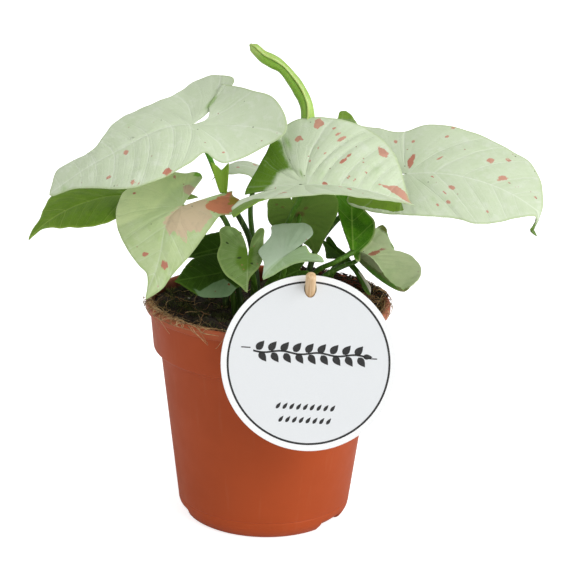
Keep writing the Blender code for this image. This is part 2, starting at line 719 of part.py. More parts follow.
def build_rolled_leaf(shaders):
    """Make the new leaf, a tapering roll, and the petiole under it."""
    line = np.array(ROLLED_LINE, float)
    build_tube("leaf_rolled", line, ROLLED_RADII, ROLLED_SIDES, shaders["new"])
    heading = unit(line[1] - line[0])
    end = line[0] - SEAT_GAP * heading
    route = rooted_route(ROLLED_FOOT, ROLLED_ROUTE, end)
    curve = smooth_curve(route, PETIOLE_POINTS)
    build_tube("petiole_rolled", curve, tube_radii(PETIOLE_POINTS), PETIOLE_SIDES, shaders["stalk"])


def soil_holes():
    """Return the radius and the two ends of each hole in the peat."""
    holes = []
    feet = [leaf.foot for leaf in LEAVES.values()] + [ROLLED_FOOT]
    for x, y in feet:
        z = soil_height(x, y)
        radius = PETIOLE_FOOT_RADIUS + HOLE_GAP
        holes.append((radius, (x, y, z - ROOTING_DEPTH), (x, y, z + CUT_OVERRUN)))
    low, high = stick_line()
    axis = unit(high - low)
    holes.append((STICK_RADIUS + HOLE_GAP, low - GAP * axis, high))
    return holes


def main():
    for thing in list(bpy.data.objects):
        bpy.data.objects.remove(thing)
    shaders = {name: material("leaf " + name, colour) for name, colour in COLOURS.items()}
    build_pot()
    build_soil(soil_holes())
    build_label()
    build_stick()
    for name, leaf in LEAVES.items():
        build_leaf(name, leaf, shaders)
    build_rolled_leaf(shaders)


main()
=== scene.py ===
"""Potted arrowhead plant with pale, pink-splashed leaves, dressed for rendering.

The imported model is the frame: every piece below lies where its CAD node lies. The
leaves, petioles, pot, peat, label and stick are replaced by finer pieces of the same
form, and moss, root fibres, crumbs and grit are added on the peat.
Shapes are worked out in millimetres and written to the meshes in metres.
"""

import math
from dataclasses import dataclass

import bpy
import mathutils
import numpy as np
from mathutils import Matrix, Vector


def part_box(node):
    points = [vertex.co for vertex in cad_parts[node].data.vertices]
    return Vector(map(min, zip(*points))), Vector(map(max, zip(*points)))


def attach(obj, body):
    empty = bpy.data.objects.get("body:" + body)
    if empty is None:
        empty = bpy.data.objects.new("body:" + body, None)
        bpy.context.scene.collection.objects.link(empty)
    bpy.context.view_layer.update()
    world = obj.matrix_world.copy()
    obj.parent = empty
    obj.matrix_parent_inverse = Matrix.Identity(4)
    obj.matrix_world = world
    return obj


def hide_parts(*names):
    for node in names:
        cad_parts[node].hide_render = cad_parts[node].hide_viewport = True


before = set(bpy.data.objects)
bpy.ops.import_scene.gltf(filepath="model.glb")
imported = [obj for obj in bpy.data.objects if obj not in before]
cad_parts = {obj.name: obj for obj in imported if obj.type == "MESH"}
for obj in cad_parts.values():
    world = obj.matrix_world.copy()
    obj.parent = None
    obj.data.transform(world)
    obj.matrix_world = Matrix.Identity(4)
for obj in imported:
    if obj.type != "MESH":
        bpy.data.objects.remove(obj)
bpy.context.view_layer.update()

bl_info = {
    "name": "Potted Arrowhead Plant",
    "version": (1, 0, 0),
    "blender": (4, 5, 0),
    "location": "3D View > Sidebar > Plant",
    "description": "Builds a potted arrowhead plant with its label, piece by piece",
    "category": "Add Mesh",
}

MM = 0.001
BODY = "root"

# Pot, in millimetres, as in the CAD model
COLLAR_TOP_RADIUS = 57.8
COLLAR_RADIUS = 56.0
COLLAR_Z = 86.0
STEP_Z = 84.4
BODY_TOP_RADIUS = 52.6
BODY_FOOT_RADIUS = 42.7
RING_RADIUS = 39.4
RING_INNER_RADIUS = 34.5
FOOT_ROUND = 4.0
FOOT_DISC_RADIUS = 12.0
RECESS = 2.5
RIM_DEPTH = 4.6
WALL = 1.3
FLOOR_Z = 3.9
NOTCH_TURNS = (197.0, 324.5, 83.0)
NOTCH_WIDTH = 20.0
NOTCH_HEIGHT = 5.6
NOTCH_INNER_HEIGHT = 3.2
DRAIN_COUNT = 6
DRAIN_RADIUS = 3.5
DRAIN_RING = 23.0

# Peat
SOIL_Z = 102.6
SOIL_BUMP = 1.1
ROOTING_DEPTH = 8.0
STRAIGHT_FOOT = 1.5
PEAT_GAP = 0.3
PEAT_BANKS = ((200.0, 75.0), (10.0, 65.0))
PEAT_BANK_HEIGHT = 4.0
HANGING_FIBRES = 7
RIM_CRUMBS = (5.0, 92.0, 700)

# Label and stick
LABEL_CENTRE = (19.0, -64.0, 99.2)
LABEL_TURN = -2.0
HOLE_DROP = 6.2
HOLE_GAP = 0.35
STICK_RADIUS = 2.4
STICK_SLANT = 30.0
STICK_OUT = 9.5
STICK_LENGTH = 55.0

# Blades and petioles
CAD_BLADE_THICK = 0.8
PETIOLE_FOOT_RADIUS = 2.0
PETIOLE_TOP_RADIUS = 1.2
SEAT_GAP = 0.5
MARGIN_WAVES = 3.5
STEPS_PER_SPAN = 24
LEAST_ANGLE = 0.01
LEAST_TURN = 0.002
HEAD_SHARES = (1.0, 0.9, 0.72, 0.5, 0.27)
VEIN_BEND = 0.012
BOW_REACH = 12.0
FAN_RADIUS = 16.0
MIDRIB_GROOVE = 0.3
MIDRIB_RIB = 0.4
PETIOLE_SIDES = 16

# Rolled new leaf: centre line from its petiole to its tip, and radii along it
ROLLED_LINE = (
    (14, 2, 180), (16, 0, 192), (16.4, -1, 199), (15.6, -1, 206), (12.2, -1, 213),
    (8, -1, 219), (4, -1, 223.5), (-1, -1, 226.5), (-5, -1, 228.5), (-9, -1, 232), (-11.4, -1, 234.3),
)
ROLLED_RADII = (2.0, 3.6, 3.7, 3.6, 3.3, 3.4, 3.2, 2.7, 3.6, 2.8, 2.3)
ROLLED_FOOT = (11, 5)
ROLLED_ROUTE = ((10, 6, 133), (11, 6, 148), (12, 4, 166))
ROLLED_HALF_WALL = 0.22
ROLLED_GRID = (90, 64)
SCROLL_TURNS = 1.55
SCROLL_INNER_SHARE = 0.6

# Sheath beside the upper left petiole
SHEATH_FOOT = (-22.8, -3.6, 163.0)
SHEATH_TIP = (-24.6, -8.0, 179.0)
SHEATH_WIDTH = 4.4

# Crumbs, grit, moss and fibres. A group of fibres is its share, its turns and its radii
CRUMB_REACH = 54.0
MOSS_REACH = 53.5
MOSS_LIMIT = 55.0
GRIT_COUNT = 46
SHOOTS_PER_TUFT = 26
FIBRE_GROUPS = (
    (0.28, 186.0, 232.0, 52.0, 59.5), (0.22, 195.0, 262.0, 44.0, 56.0),
    (0.28, -50.0, 40.0, 50.0, 59.5), (0.22, 0.0, 360.0, 15.0, 55.0),
)
LITTER_SHADES = (
    (0.0, "#1A120B"), (0.2, "#3E2A19"), (0.4, "#2E2F14"), (0.55, "#4A5220"), (0.68, "#8C8B4C"),
    (0.74, "#5C3F24"), (0.86, "#A87C4C"), (1.0, "#DCBC8C"),
)

# Stage
SUN_FROM = (0.75, -0.45, 0.5)
FILL_FROM = (-0.95, -0.2, 0.38)
FLOOR_RADIUS = 6000.0
FLOOR_SIDES = 96


def linear(code):
    """Return a colour written as #RRGGBB as linear red, green and blue."""
    shares = np.array([int(code[i:i + 2], 16) for i in (1, 3, 5)]) / 255.0
    bright = ((shares + 0.055) / 1.055) ** 2.4
    return tuple(float(v) for v in np.where(shares > 0.04045, bright, shares / 12.92))


SPLASH_COLOURS = {
    "pink": "#CF9A84", "deep pink": "#C4816B", "beige": "#DCC6A8", "blush": "#D6B8A2", "rust": "#D78767",
    "moss": "#76992C", "leaf green": "#7FA548", "soft green": "#A9C784", "deep green": "#5F8420",
    # painted light in part: yellow green and bright green are the front left leaf's own hues, lightened to
    # lift it where the upper left leaf's shadow falls
    "olive": "#A89038", "bright green": "#8CC24C", "yellow green": "#E2F1B6", "brown": "#7E5236",
    "dark": "#35481C",
    # painted light in part: pale lime and cream are the folded leaf's own pale colours, lightened to lift its
    # faces that lie in shade
    "shell": "#DDD8C8", "grey green": "#7E9C72", "pale lime": "#DCE8BA", "pale mint": "#C6DAC0",
    "cream": "#E2F2C0", "vivid green": "#74C43C", "khaki": "#7D8438",
}


@dataclass
class Tone:
    """The colours of one kind of blade, above and below."""

    base: str
    light: str
    patch: str
    vein: str
    margin: str
    under: str
    under_patch: str
    under_vein: str
    patchy: float = 0.5
    roughness: float = 0.42
    specks: float = 0.5
    shine: float = 0.22


TONES = {
    "pale": Tone(
        base="#D2E0C0", light="#E1EAD7", patch="#BFD3A4", vein="#E9F1DF", margin="#B3C88C",
        under="#A9C283", under_patch="#8FAE62", under_vein="#C6D8A4", specks=0.2,
    ),
    "lime": Tone(
        base="#C7D9A2", light="#D6E4C0", patch="#B0CA80", vein="#DDE9CB", margin="#A9C07C",
        under="#9DB86F", under_patch="#86A654", under_vein="#BCD095", patchy=0.8, specks=0.2,
    ),
    "green": Tone(
        base="#7A9852", light="#98AF74", patch="#63823A", vein="#ABBF88", margin="#A8C274",
        under="#5E8128", under_patch="#4F731C", under_vein="#88A552", patchy=0.8, roughness=0.45, specks=0.6,
    ),
    "mint": Tone(
        base="#9FBB8C", light="#BCD0AC", patch="#86A669", vein="#C6D9B6", margin="#AECB84",
        under="#8FAE79", under_patch="#7C9E60", under_vein="#B3C99F", specks=0.3,
    ),
    "dark": Tone(
        base="#6E9420", light="#84A83A", patch="#567C12", vein="#A9C463", margin="#A3BE54",
        under="#5F8A2E", under_patch="#4C7620", under_vein="#9DBB66", patchy=0.7, roughness=0.45,
        specks=0.1, shine=0.12,
    ),
    # painted shade: the deep tone is darker than these leaves' own green, for the low leaves that lie in the
    # plant's shade
    "deep": Tone(
        base="#33520F", light="#46691C", patch="#223C08", vein="#5B7D30", margin="#5E7F2E",
        under="#3A5A14", under_patch="#2A460A", under_vein="#6B8C3C", patchy=0.7, roughness=0.5, specks=0.2,
        shine=0.08,
    ),
    "glossy": Tone(
        base="#4E7A1C", light="#66932A", patch="#3A6312", vein="#86A94A", margin="#C3D48F",
        under="#538E12", under_patch="#356A06", under_vein="#A4C860", patchy=0.7, roughness=0.4,
        specks=0.05, shine=0.12,
    ),
}


@dataclass
class Leaf:
    """One leaf, with its CAD shape and its markings.

    The midrib bows from joint to tip. left and right are the half outlines seen
    from the joint with the upper face up, each as five (along, across) points:
    the widest place, the waist, the lobe's shoulder, the lobe's end and the
    point inside the cleft. route is the petiole's way up from its foot.
    splashes are patches with torn edges and tints are soft ones, each as (colour,
    along, across, half its length, half its width), its length lying with the veins;
    across is negative on the left half. A mark may also be (colour, softness, corners).
    margins are full half outlines where the photo shows one. slopes tell how far ahead
    each half's side veins run, and bow how far the midrib swings to the right.
    opening turns the left half back beside the cleft: (degrees, reach). hook drops the
    tip and turns it back: (from, depth, way back).
    """

    joint: tuple
    tip: tuple
    left: tuple
    right: tuple
    foot: tuple
    route: tuple
    tone: str = "pale"
    roll: float = 0.0
    arch: float = 0.0
    sway: float = 0.0
    fold: tuple = (0.0, 0.0)
    curl: tuple = (-10.0, -10.0)
    lift: tuple = (0.0, 0.0)
    taper: tuple = (1.25, 1.25)
    wave: float = 0.0
    vein_gap: float = 7.0
    quilt: float = 0.35
    margins: tuple = (None, None)
    slopes: tuple = (0.6, 0.6)
    bow: float = 0.0
    opening: tuple = (0.0, 1.0)
    hook: tuple = ()
    splashes: tuple = ()
    tints: tuple = ()
    stalk: str = "petiole"
    columns: int = 54
    rings: int = 24


LEAVES = {
    "upper_left": Leaf(
        joint=(-38, -10, 197), tip=(-103, -22, 165),
        left=((25, 29), (4, 22), (-2, 30), (-36, 30), (-34, 1)),
        right=((18, 29), (4, 29), (-8, 37), (-31, 29), (-31, 1)),
        margins=(
            (
                (74, 0.3), (72.7, 2.1), (68.5, 3.8), (61, 7.4), (50.3, 16.6), (40.7, 24.9), (34.3, 27.4),
                (23, 28.2),
                (10.7, 25.2), (2.5, 21.8), (1, 26), (-2, 31), (-6, 31.8), (-20, 32.3), (-31.5, 33), (-36, 27),
                (-38.4, 13), (-34.7, 1.6), (-30, -11.5), (-26.1, -20),
            ),
            (
                (74, 0.5), (71.5, 6), (69, 11), (67, 13.6), (61, 12.9), (54, 12.4), (47, 13), (41, 17),
                (34, 24),
                (27, 28.5), (18, 30), (8, 30.7), (-4, 32.4), (-17.6, 38), (-25.6, 34.5), (-30.4, 25.7),
                (-32.5, 20),
                (-31.5, 16.5),
            ),
        ),
        slopes=(0.12, 0.1), bow=4.5, opening=(38.0, 18.0), stalk="bright petiole",
        roll=-18, arch=6, sway=-3, fold=(-5, 3), curl=(-12, -10), lift=(36, 27), taper=(1.25, 1.7), wave=0.3,
        foot=(-7, 2), route=((-8, 2, 129), (-10, 2, 140), (-16, 1, 152), (-23, 0, 164), (-31, -6, 184)),
        splashes=(
            ("pink", 33.3, -2.8, 1.8, 1.2), ("pink", 44.8, -13.3, 1.6, 1.0), ("pink", 36.3, -23.7, 1.5, 0.9),
            ("deep pink", 21.2, -25.9, 2.3, 1.7), ("pink", 34.2, -25.4, 0.7, 0.5),
            ("pink", -4.8, -24.8, 0.8, 0.6),
        ),
        tints=(
            ("soft green", -16, 11.6, 9, 2.6, 0.9), ("soft green", 25, 18, 9, 7, 0.3),
            ("leaf green", 1.5, ((-10, 6.4), (-14.4, 12.2), (-19.2, 16.2), (-21, 13.7), (-15.4, 8.7),
                (-11.2, 5.2)), 0.6),
            ("soft green", 66, -3, 6, 5, 0.5),
        ),
        quilt=0.5, vein_gap=9.5, columns=130, rings=46,
    ),
    "front_left": Leaf(
        joint=(-42, -16, 159), tip=(-57, -40, 120),
        left=((22, 10), (1, 18), (-5, 27), (-17, 27), (-9, 11)),
        right=((15, 28), (7, 32), (-8, 33), (-16, 19), (-20, 1)),
        margins=(
            (
                (47.9, 0.3), (40.3, 4.4), (34.6, 5.4), (28, 7.6), (23.7, 9.4), (17.5, 11.6), (12.3, 13.4),
                (7.5, 15.4), (0.9, 18.6), (-0.6, 21), (-2.6, 24.7), (-12.2, 27.9), (-14.5, 23.5), (-17, 23.2),
            ),
            (
                (47.9, 0.2), (38.1, 5.9), (36.3, 11.1), (32, 18.6), (25, 25.2), (14, 30.4), (0.9, 32.9),
                (-6.9, 32.7), (-13, 30.9), (-14.8, 29.2), (-17.9, 25.4), (-20.9, 18.1), (-21.8, 10.6),
                (-22.7, 5.4),
                (-21.8, 0.3), (-22.7, -4.2), (-21.8, -6.7), (-19, -8),
            ),
        ),
        slopes=(1.1, 0.9), bow=6.0,
        roll=-17, arch=5, sway=-4, fold=(-6, -5), curl=(-20, -16),
        foot=(-13, -3), route=((-17, -2, 128), (-20, -3, 146), (-26, -5, 155), (-35, -10, 157)),
        tone="lime",
        splashes=(
            ("beige", 3.0, (
                (6.2, 6.6), (9.7, 7.1), (16.7, 2.2), (13.2, 1.7), (17.5, -6.1), (12.3, -5.4), (11, -11.4),
                (5.7, -12.6), (1.8, -15.5), (-3, -11.5), (-8, -11), (-4, -4.5), (-1, -1), (1.2, 2.7),
            )),
            ("rust", 2.0, (
                (-3.4, -10.4), (-11.3, -17.4), (-15, -22), (-19, -25), (-15, -29.5), (-4.7, -26),
                (0.8, -19.2),
                (-0.4, -16.6), (-0.4, -10.6),
            ), 0.85),
            ("olive", 0.6, ((-6.2, -21.2), (-14.6, -22.4), (-13.4, -25.4), (-10.4, -29))),
            ("deep pink", 29, 10.8, 1.6, 1.4), ("deep pink", 30.7, -0.3, 2.2, 1.4),
            ("deep pink", -11.1, 24.7, 1.1, 0.9), ("pink", -19.6, 5.7, 2.2, 0.6),
            ("pink", 40.5, -2, 0.9, 0.5),
        ),
        tints=(
            # painted light in part: the yellow green over the top of the blade and the bright green corner
            # are its own hues, lightened where the upper left leaf's shadow falls
            ("yellow green", 10.0, ((6, 44), (-34, 32), (-34, -16), (-14, -7), (-8, 2), (4, 10), (16, 30))),
            ("blush", 1.5, ((-9, 0.5), (-5, -4.5), (-12, -6), (-15, -2), (-13.5, 1.5))),
            ("yellow green", 2.5, ((1.4, -16.6), (6.2, -14.6), (1, -20), (-3, -25.5), (-2.5, -22))),
            ("bright green", 2.0, ((-18.5, -3), (-19, -9.5), (-25, -9.5), (-25, -2))),
        ),
        quilt=0.35, vein_gap=12.0, columns=110, rings=42,
    ),
    "front_centre": Leaf(
        joint=(16, -33, 175), tip=(66, -37, 167),
        left=((23, 35), (6, 39), (-11, 31), (-19, 19), (-28, 1)),
        right=((22, 24), (5, 25), (-10, 24), (-23, 38), (-22, 9)),
        margins=(
            (
                (50.6, 0.2), (48.6, 1.2), (45.6, 6.0), (42.4, 12.6), (36.7, 22.2), (29.1, 29.9),
                (19.7, 35.2), (11.2, 37.2),
                (1.8, 38.7), (-8.1, 38), (-14.3, 32.7), (-17.9, 25.9), (-20.6, 18.9), (-25, 9.9),
                (-28.6, 2.3),
                (-29.5, -1.9),
            ),
            (
                (50.6, 0.2), (48, 3.6), (41, 11), (34, 16.6), (27.3, 20.2), (17.4, 23.7), (2.2, 27.3),
                (-5.4, 28.4),
                (-10.5, 29.2), (-13.4, 31.5), (-15.2, 36.5), (-18.3, 42.5), (-20.3, 45.6), (-22.2, 42.5),
                (-24, 36),
                (-25.5, 30.9),
                (-24.6, 21.7), (-22.4, 14.1),
            ),
        ),
        slopes=(0.3, 0.5),
        roll=25, arch=4, fold=(21, 32), curl=(-6, -16), lift=(-8, -12), wave=0.3,
        foot=(6, -8), route=((7, -12, 132), (7, -15, 146), (10, -19, 157)),
        splashes=(
            ("pink", 0.8, ((0.9, -32.2), (1.3, -37), (3.1, -37.7), (4.5, -35.7), (5.4, -34), (3.6, -32.7),
                (2.7, -31.2))),
            ("pink", 0.6, (
                (-7.2, -25.2), (-6.3, -27.2), (-4.5, -27.9), (-2.7, -24.7), (-4.5, -25.4), (-5.4, -23.7),
            )),
            ("pink", 0.8, (
                (28.6, -25.7), (29.9, -24.7), (31.7, -23.7), (34, -21.7), (33.1, -19.2), (29.9, -19.7),
                (29.5, -21.9),
            )),
            ("pink", 0.8, (
                (31.5, -4.6), (37, -5.2), (40, -7), (42.5, -6.2), (45, -5.2), (49.2, -2.2), (50.1, 0.4),
                (46, -0.6),
                (41.1, -2.1), (36.8, -3.6),
            )),
            ("pink", 13.2, -25.6, 2.3, 0.8), ("pink", 11.5, -28, 1.4, 0.6),
            ("deep pink", 15.3, -13.4, 1.9, 0.9),
            ("deep pink", 17.5, -16.7, 1.4, 0.6), ("deep pink", 8.6, -0.5, 1.0, 1.4),
            ("pink", 18.8, -4.9, 1.3, 0.5),
            ("pink", 21.6, -3.9, 1.0, 0.5), ("pink", -6.2, 20.6, 1.2, 1.9), ("pink", 9.5, -31.5, 0.8, 0.6),
            ("pink", 4, -20, 0.9, 0.5), ("pink", 1, -13, 0.9, 0.5), ("pink", 7, -17, 0.8, 0.4),
            ("brown", 20, -22, 0.5, 0.4), ("deep pink", 24, -14, 0.7, 0.4), ("brown", 10, -9, 0.5, 0.4),
            ("pink", 26, -9, 0.8, 0.5), ("brown", 2, -28, 0.5, 0.4), ("pink", 20, 7, 1.6, 0.9),
            ("pink", 16, 6, 1.5, 0.7),
            ("dark", 0.4, ((-9.6, -15.9), (-9.1, -15.3), (-7, -12.3), (-7.4, -12.9))),
            ("dark", 0.4, ((-3.8, -0.6), (-2, 0.5), (-0.2, 1.1), (-2, -0.3))),
        ),
        tints=(
            ("deep green", 7.0, (
                (-18, -31), (-11, -28), (-8.5, -18.4), (-5.5, -11.6), (-0.5, -5), (-2, -4.4), (-8.5, -6.4),
                (-11.5, -6), (-12.5, -3.5), (-13.5, -0.4), (-16.5, 2), (-21, 8), (-34, 8), (-40, -8),
                (-30, -22),
            )),
            ("soft green", -10, -24, 9, 2.5, 0.6), ("soft green", 30, -12, 9, 5, 0.35),
            ("soft green", 7, -6, 9, 5, 0.3),
            ("moss", 1.2, ((-24, 47), (-25.5, 37), (-21.5, 28.2), (-17, 26), (-11, 28.5), (-10, 38),
                (-16, 45), (-20, 50))),
            ("leaf green", -2.5, -6, 5, 1.5, 0.5),
        ),
        quilt=0.75, vein_gap=7.5, columns=120, rings=46,
    ),
    "right": Leaf(
        joint=(65, 0, 174), tip=(129, -17, 159),
        left=((42, 23), (7, 32), (-3, 29), (-29, 36), (-27, 8)),
        right=((36, 27), (6, 30), (-4, 28), (-28, 17), (-27, 9)),
        margins=(
            (
                (71.6, 0.2), (71, 0.5), (70, 0.9), (68, 1.5), (66.5, 2.3), (65, 4.8), (61.8, 10.5),
                (57.4, 16.6), (49.7, 22.7),
                (42, 24), (24, 29), (7, 32), (-3, 29), (-16, 34), (-29, 36), (-32, 22), (-27, 8),
            ),
            (
                (71.6, 0.2), (71, 0.6), (70, 1.0), (68, 1.6), (66.5, 2.2), (65, 4.2), (61, 9.2),
                (57.4, 13.9), (51.2, 21.2),
                (41.5, 27.2), (29.2, 27.7), (6.1, 29.4), (-4, 28), (-17, 24), (-28, 17), (-27, 9),
            ),
        ),
        slopes=(0.8, 0.8), hook=(64.5, 7.5, 5.5),
        roll=33, arch=5, sway=-5, fold=(7, 5), curl=(-9, -9), wave=0.3,
        foot=(17, 8), route=((23, 15, 131), (32, 20, 144), (45, 17, 156), (58, 7, 167)),
        splashes=(
            ("deep pink", 1.8, -7.8, 4.2, 1.3), ("pink", 22.6, 9.1, 1.9, 1.4), ("pink", 22.5, 19, 1.5, 0.9),
            ("pink", 35.5, -13.4, 1.6, 1.5), ("pink", 42, -17.5, 1.5, 0.9), ("pink", 43.5, -6, 2.6, 1.3),
            ("pink", 17.2, -29.7, 1.8, 0.9), ("pink", 15.5, -23.5, 1.0, 0.6), ("pink", 2.3, -20.8, 0.9, 0.7),
            ("pink", 60.1, -5.8, 0.9, 0.7), ("pink", 44.6, 17.2, 0.9, 0.6), ("pink", 17, 21.6, 1.0, 0.6),
            ("pink", 14, -9, 1.7, 0.5), ("deep pink", 12, 3, 1.0, 0.5), ("pink", -6, -22, 1.2, 0.9),
            ("pink", 19.5, 13.5, 1.6, 0.4), ("pink", 47, -5.5, 1.3, 0.4), ("pink", 51, -5, 1.2, 0.4),
            ("moss", 1.0, (
                (-32, 9), (-22, 10), (-12, 12), (-1.6, 15), (-1.6, 21.9), (-0.4, 25.9), (-3.5, 26.6),
                (-12, 23.6),
                (-21, 20.5), (-28, 17),
            )),
        ),
        tints=(
            ("soft green", 7, 7, 9, 8, 0.3), ("soft green", 14, 18, 7, 4, 0.35),
            ("leaf green", 8, 24, 4, 3, 0.3),
            ("soft green", -12, 10, 9, 6, 0.35), ("deep green", 2.0, ((66, -8), (74, -8), (74, 8), (66, 8))),
        ),
        quilt=0.35, vein_gap=13.0, columns=130, rings=46,
    ),
    "far_left": Leaf(
        joint=(-60, 18, 155), tip=(-117, -5, 137),
        left=((20, 20), (6, 18), (-4, 20), (-24, 13), (-18, 4)),
        right=((23, 23), (6, 20), (-4, 20), (-28, 12), (-20, 4)),
        margins=(
            (
                (63.1, 0.3), (61.1, 0.5), (56.6, 1.8), (52.6, 6.1), (50, 11.6), (46.6, 14.8), (43, 19),
                (38, 22.4),
                (33, 24), (28, 24.4), (21.7, 23.2), (6, 18), (-4, 20), (-24, 13), (-18, 4),
            ),
            (
                (63.1, 0.3), (58.6, 4.1), (54.1, 5.9), (47.6, 13.6), (40.7, 21.4), (36.7, 22.2), (28, 22),
                (6, 20),
                (-4, 20), (-28, 12), (-20, 4),
            ),
        ),
        tone="dark", roll=-9, arch=8, sway=3, fold=(4, 5), curl=(-15, -13),
        foot=(-21, 13), route=((-26, 21, 124), (-37, 25, 138), (-51, 23, 147)),
        tints=(
            ("leaf green", 55, -3, 6, 4, 0.6),
            ("dark", 6.0, ((60, -0.5), (-10, -0.5), (-10, -26), (60, -26)), 0.08),
        ),
        quilt=0.35, vein_gap=10.0, columns=90, rings=34,
    ),
    "heart": Leaf(
        joint=(-10, -29, 139), tip=(-10, -41, 126),
        left=((2, 7), (-1, 9), (-5, 8), (-17, 7), (-11, 2)),
        right=((5, 13), (0, 15), (-6, 14), (-17, 12), (-12, 3)),
        margins=(
            (
                (19, 0.3), (14, 0.4), (10.8, 1.6), (6.6, 5.3), (2.5, 7), (-3, 7.5), (-8.7, 7.3),
                (-14.1, 7.4), (-14.8, 5.6),
                (-12.2, 3.1), (-8.4, 1.6), (-4, 0.6), (-1.7, 0.2),
            ),
            (
                (19, 0.3), (16.5, 2.2), (13.6, 5.6), (9.8, 10.1), (4.4, 13.1), (-1, 14.6), (-7.1, 13.2),
                (-14.5, 13.8),
                (-16, 11.6), (-15.3, 7.1), (-12.1, 3.6), (-7.7, 1.6), (-3, 0.5),
            ),
        ),
        tone="green", roll=7, fold=(12, 11), curl=(-16, -16),
        foot=(-6.5, -11.5), route=((-6.5, -16, 120), (-9, -24, 133)),
        splashes=(("dark", 1, 4, 1.0, 0.6), ("dark", -7, 10, 1.2, 0.5), ("dark", 4, -2, 0.9, 0.5)),
        tints=(
            # painted shade: the deep green patch about the joint stands for the shade in the blade's fold
            # there
            ("deep green", 4.0, ((-6, -5), (6, -4), (11, 2), (4, 8), (-7, 6)), 0.8),
            ("soft green", -13, 9, 5, 4, 0.5),
            ("soft green", -8, -5, 5, 2.5, 0.5), ("leaf green", 6, 8, 4, 4, 0.3),
        ),
        vein_gap=4.5, quilt=0.6,
    ),
    "low_centre": Leaf(
        joint=(6, -38, 141), tip=(-3, -45, 132),
        left=((1.5, 6), (0, 9), (-7, 11), (-14, 14), (-11, 2)),
        right=((2, 11), (0, 14), (-8, 18), (-20, 10), (-16, 1)),
        margins=(
            (
                (13.9, 0.3), (9.5, 2.8), (1.8, 4.6), (-3, 5.6), (-8, 8.0), (-11, 10.2), (-14.5, 12.9),
                (-15.2, 10.4),
                (-14.2, 8), (-12, 5.6), (-12.3, 1.3), (-8, 0.4), (-4.6, 0.3),
            ),
            (
                (13.9, 0.3), (9.5, 2.6), (6.7, 4.9), (5.5, 8.1), (4, 12.4), (-0.7, 14.1), (-4, 16.1),
                (-6.8, 20.7),
                (-10.5, 18.4), (-15.1, 13.4), (-19.4, 8.6), (-20, 4.4), (-18.2, 0.9), (-14.5, 0.4), (-8, 0.3),
            ),
        ),
        tone="mint", roll=-16, sway=1, fold=(-21, 7), curl=(-20, -18),
        foot=(4, -18), route=((4, -25, 120), (7, -33, 134)),
        tints=(
            ("pale mint", 3.0, ((-26, -2), (-26, 24), (8, 20), (16, 0), (0, -1)), 0.9),
            ("leaf green", 2.0, ((16, 0), (-3, 1), (-18, 8), (-18, 16), (4, 8)), 0.3),
        ),
        vein_gap=5.0,
    ),
    "hanging": Leaf(
        joint=(14, -9, 155), tip=(23, 3, 132),
        left=((5, 15), (0, 15), (-5, 16), (-14, 13), (-7, 3)),
        right=((4, 17), (0, 18), (-5, 18), (-14, 14), (-7, 3)),
        margins=(
            (
                (27.4, 0.2), (24.3, 1.8), (21, 3), (15, 8), (8, 13), (-0.7, 15.4), (-9.3, 13.2), (-15, 11),
                (-18, 6),
                (-17.5, 1.5), (-12, 0.6), (-1, 0.1),
            ),
            (
                (27.4, 0.2), (26.4, 1.4), (18.5, 7.1), (11, 12.9), (2.1, 18.4), (-9.3, 21), (-14, 17),
                (-17, 10),
                (-17.5, 1.5), (-12, 0.6), (-1, 0.1),
            ),
        ),
        tone="green", roll=-30, arch=1,
        foot=(12, 0), route=((12, -3, 120), (13, -9, 134), (13, -13, 148)),
        splashes=(
            ("brown", -0.1, 0.2, 2.4, 2.0), ("brown", -3.6, 4.2, 1.5, 0.9), ("brown", -8, -6, 1.2, 0.6),
            ("brown", -11, -8, 1.0, 0.7), ("brown", 4, -7, 0.7, 0.5),
        ),
        tints=(
            # painted light in part: leaf green over the whole blade is its own yellow-green, lightened to
            # lift it where it hangs in shade
            ("leaf green", 12.0, ((-40, -40), (50, -40), (50, 40), (-40, 40)), 0.9),
        ),
        vein_gap=5.0, quilt=0.4,
    ),
    "glossy": Leaf(
        joint=(40, -13, 137), tip=(39, 11, 167),
        left=((13, 10), (8, 10), (2, 5), (-7, 3), (-4, 1)),
        right=((25, 10), (15, 6.7), (7, 3.8), (3, 2.4), (-1, 1.5)),
        margins=(
            (
                (38.4, 0.3), (34, 2), (29, 4.3), (23.7, 6.9), (18.5, 11), (13.7, 11.4), (10.1, 10.6),
                (6.5, 8.6),
                (2.5, 5.1), (-1, 3.6), (-3.6, 3.2), (-4, 1.6), (-2, 0.6),
            ),
            (
                (38.4, 0.3), (36, 4), (33, 7.5), (29.7, 8.4), (24.5, 7.4), (18.1, 5.1), (14.5, 2.3),
                (9.7, 1.1),
                (3.7, 0.6), (0.9, 0.6), (-1, 0.6), (-1.6, 0.3),
            ),
        ),
        tone="glossy", roll=187, arch=1,
        foot=(15, -8), route=((22, -14, 127.5), (31, -18, 134)),
        vein_gap=8.0, quilt=0.4, slopes=(0.9, 0.9),
    ),
    "folded": Leaf(
        joint=(43, 0, 131), tip=(64, -30, 124),
        left=((13, 24), (2, 13), (-1, 13), (-8, 10), (-6, 4)),
        right=((10, 13), (1, 12), (-2, 9), (-8, 7), (-6, 3)),
        margins=(
            (
                (37.3, 0.3), (36.8, 2), (35.8, 3.6), (32.3, 10.1), (24, 17.9), (18.8, 21.4), (12.1, 22.7),
                (7.8, 19.7),
                (3.4, 14.9), (-4, 12), (-8, 9), (-6, 4),
            ),
            (
                (37.3, 0.3), (37, 2.4), (34, 2.6), (29, 3.6), (23.2, 7.1), (22.8, 11.6), (19.2, 16),
                (12, 17.5), (5.8, 17),
                (0, 12), (-6, 8), (-6, 3),
            ),
        ),
        tone="lime", roll=-9, arch=-4, sway=-4, fold=(32, 52), curl=(-12, -8),
        foot=(19, -2), route=((26, -4, 122), (34, -3, 127)),
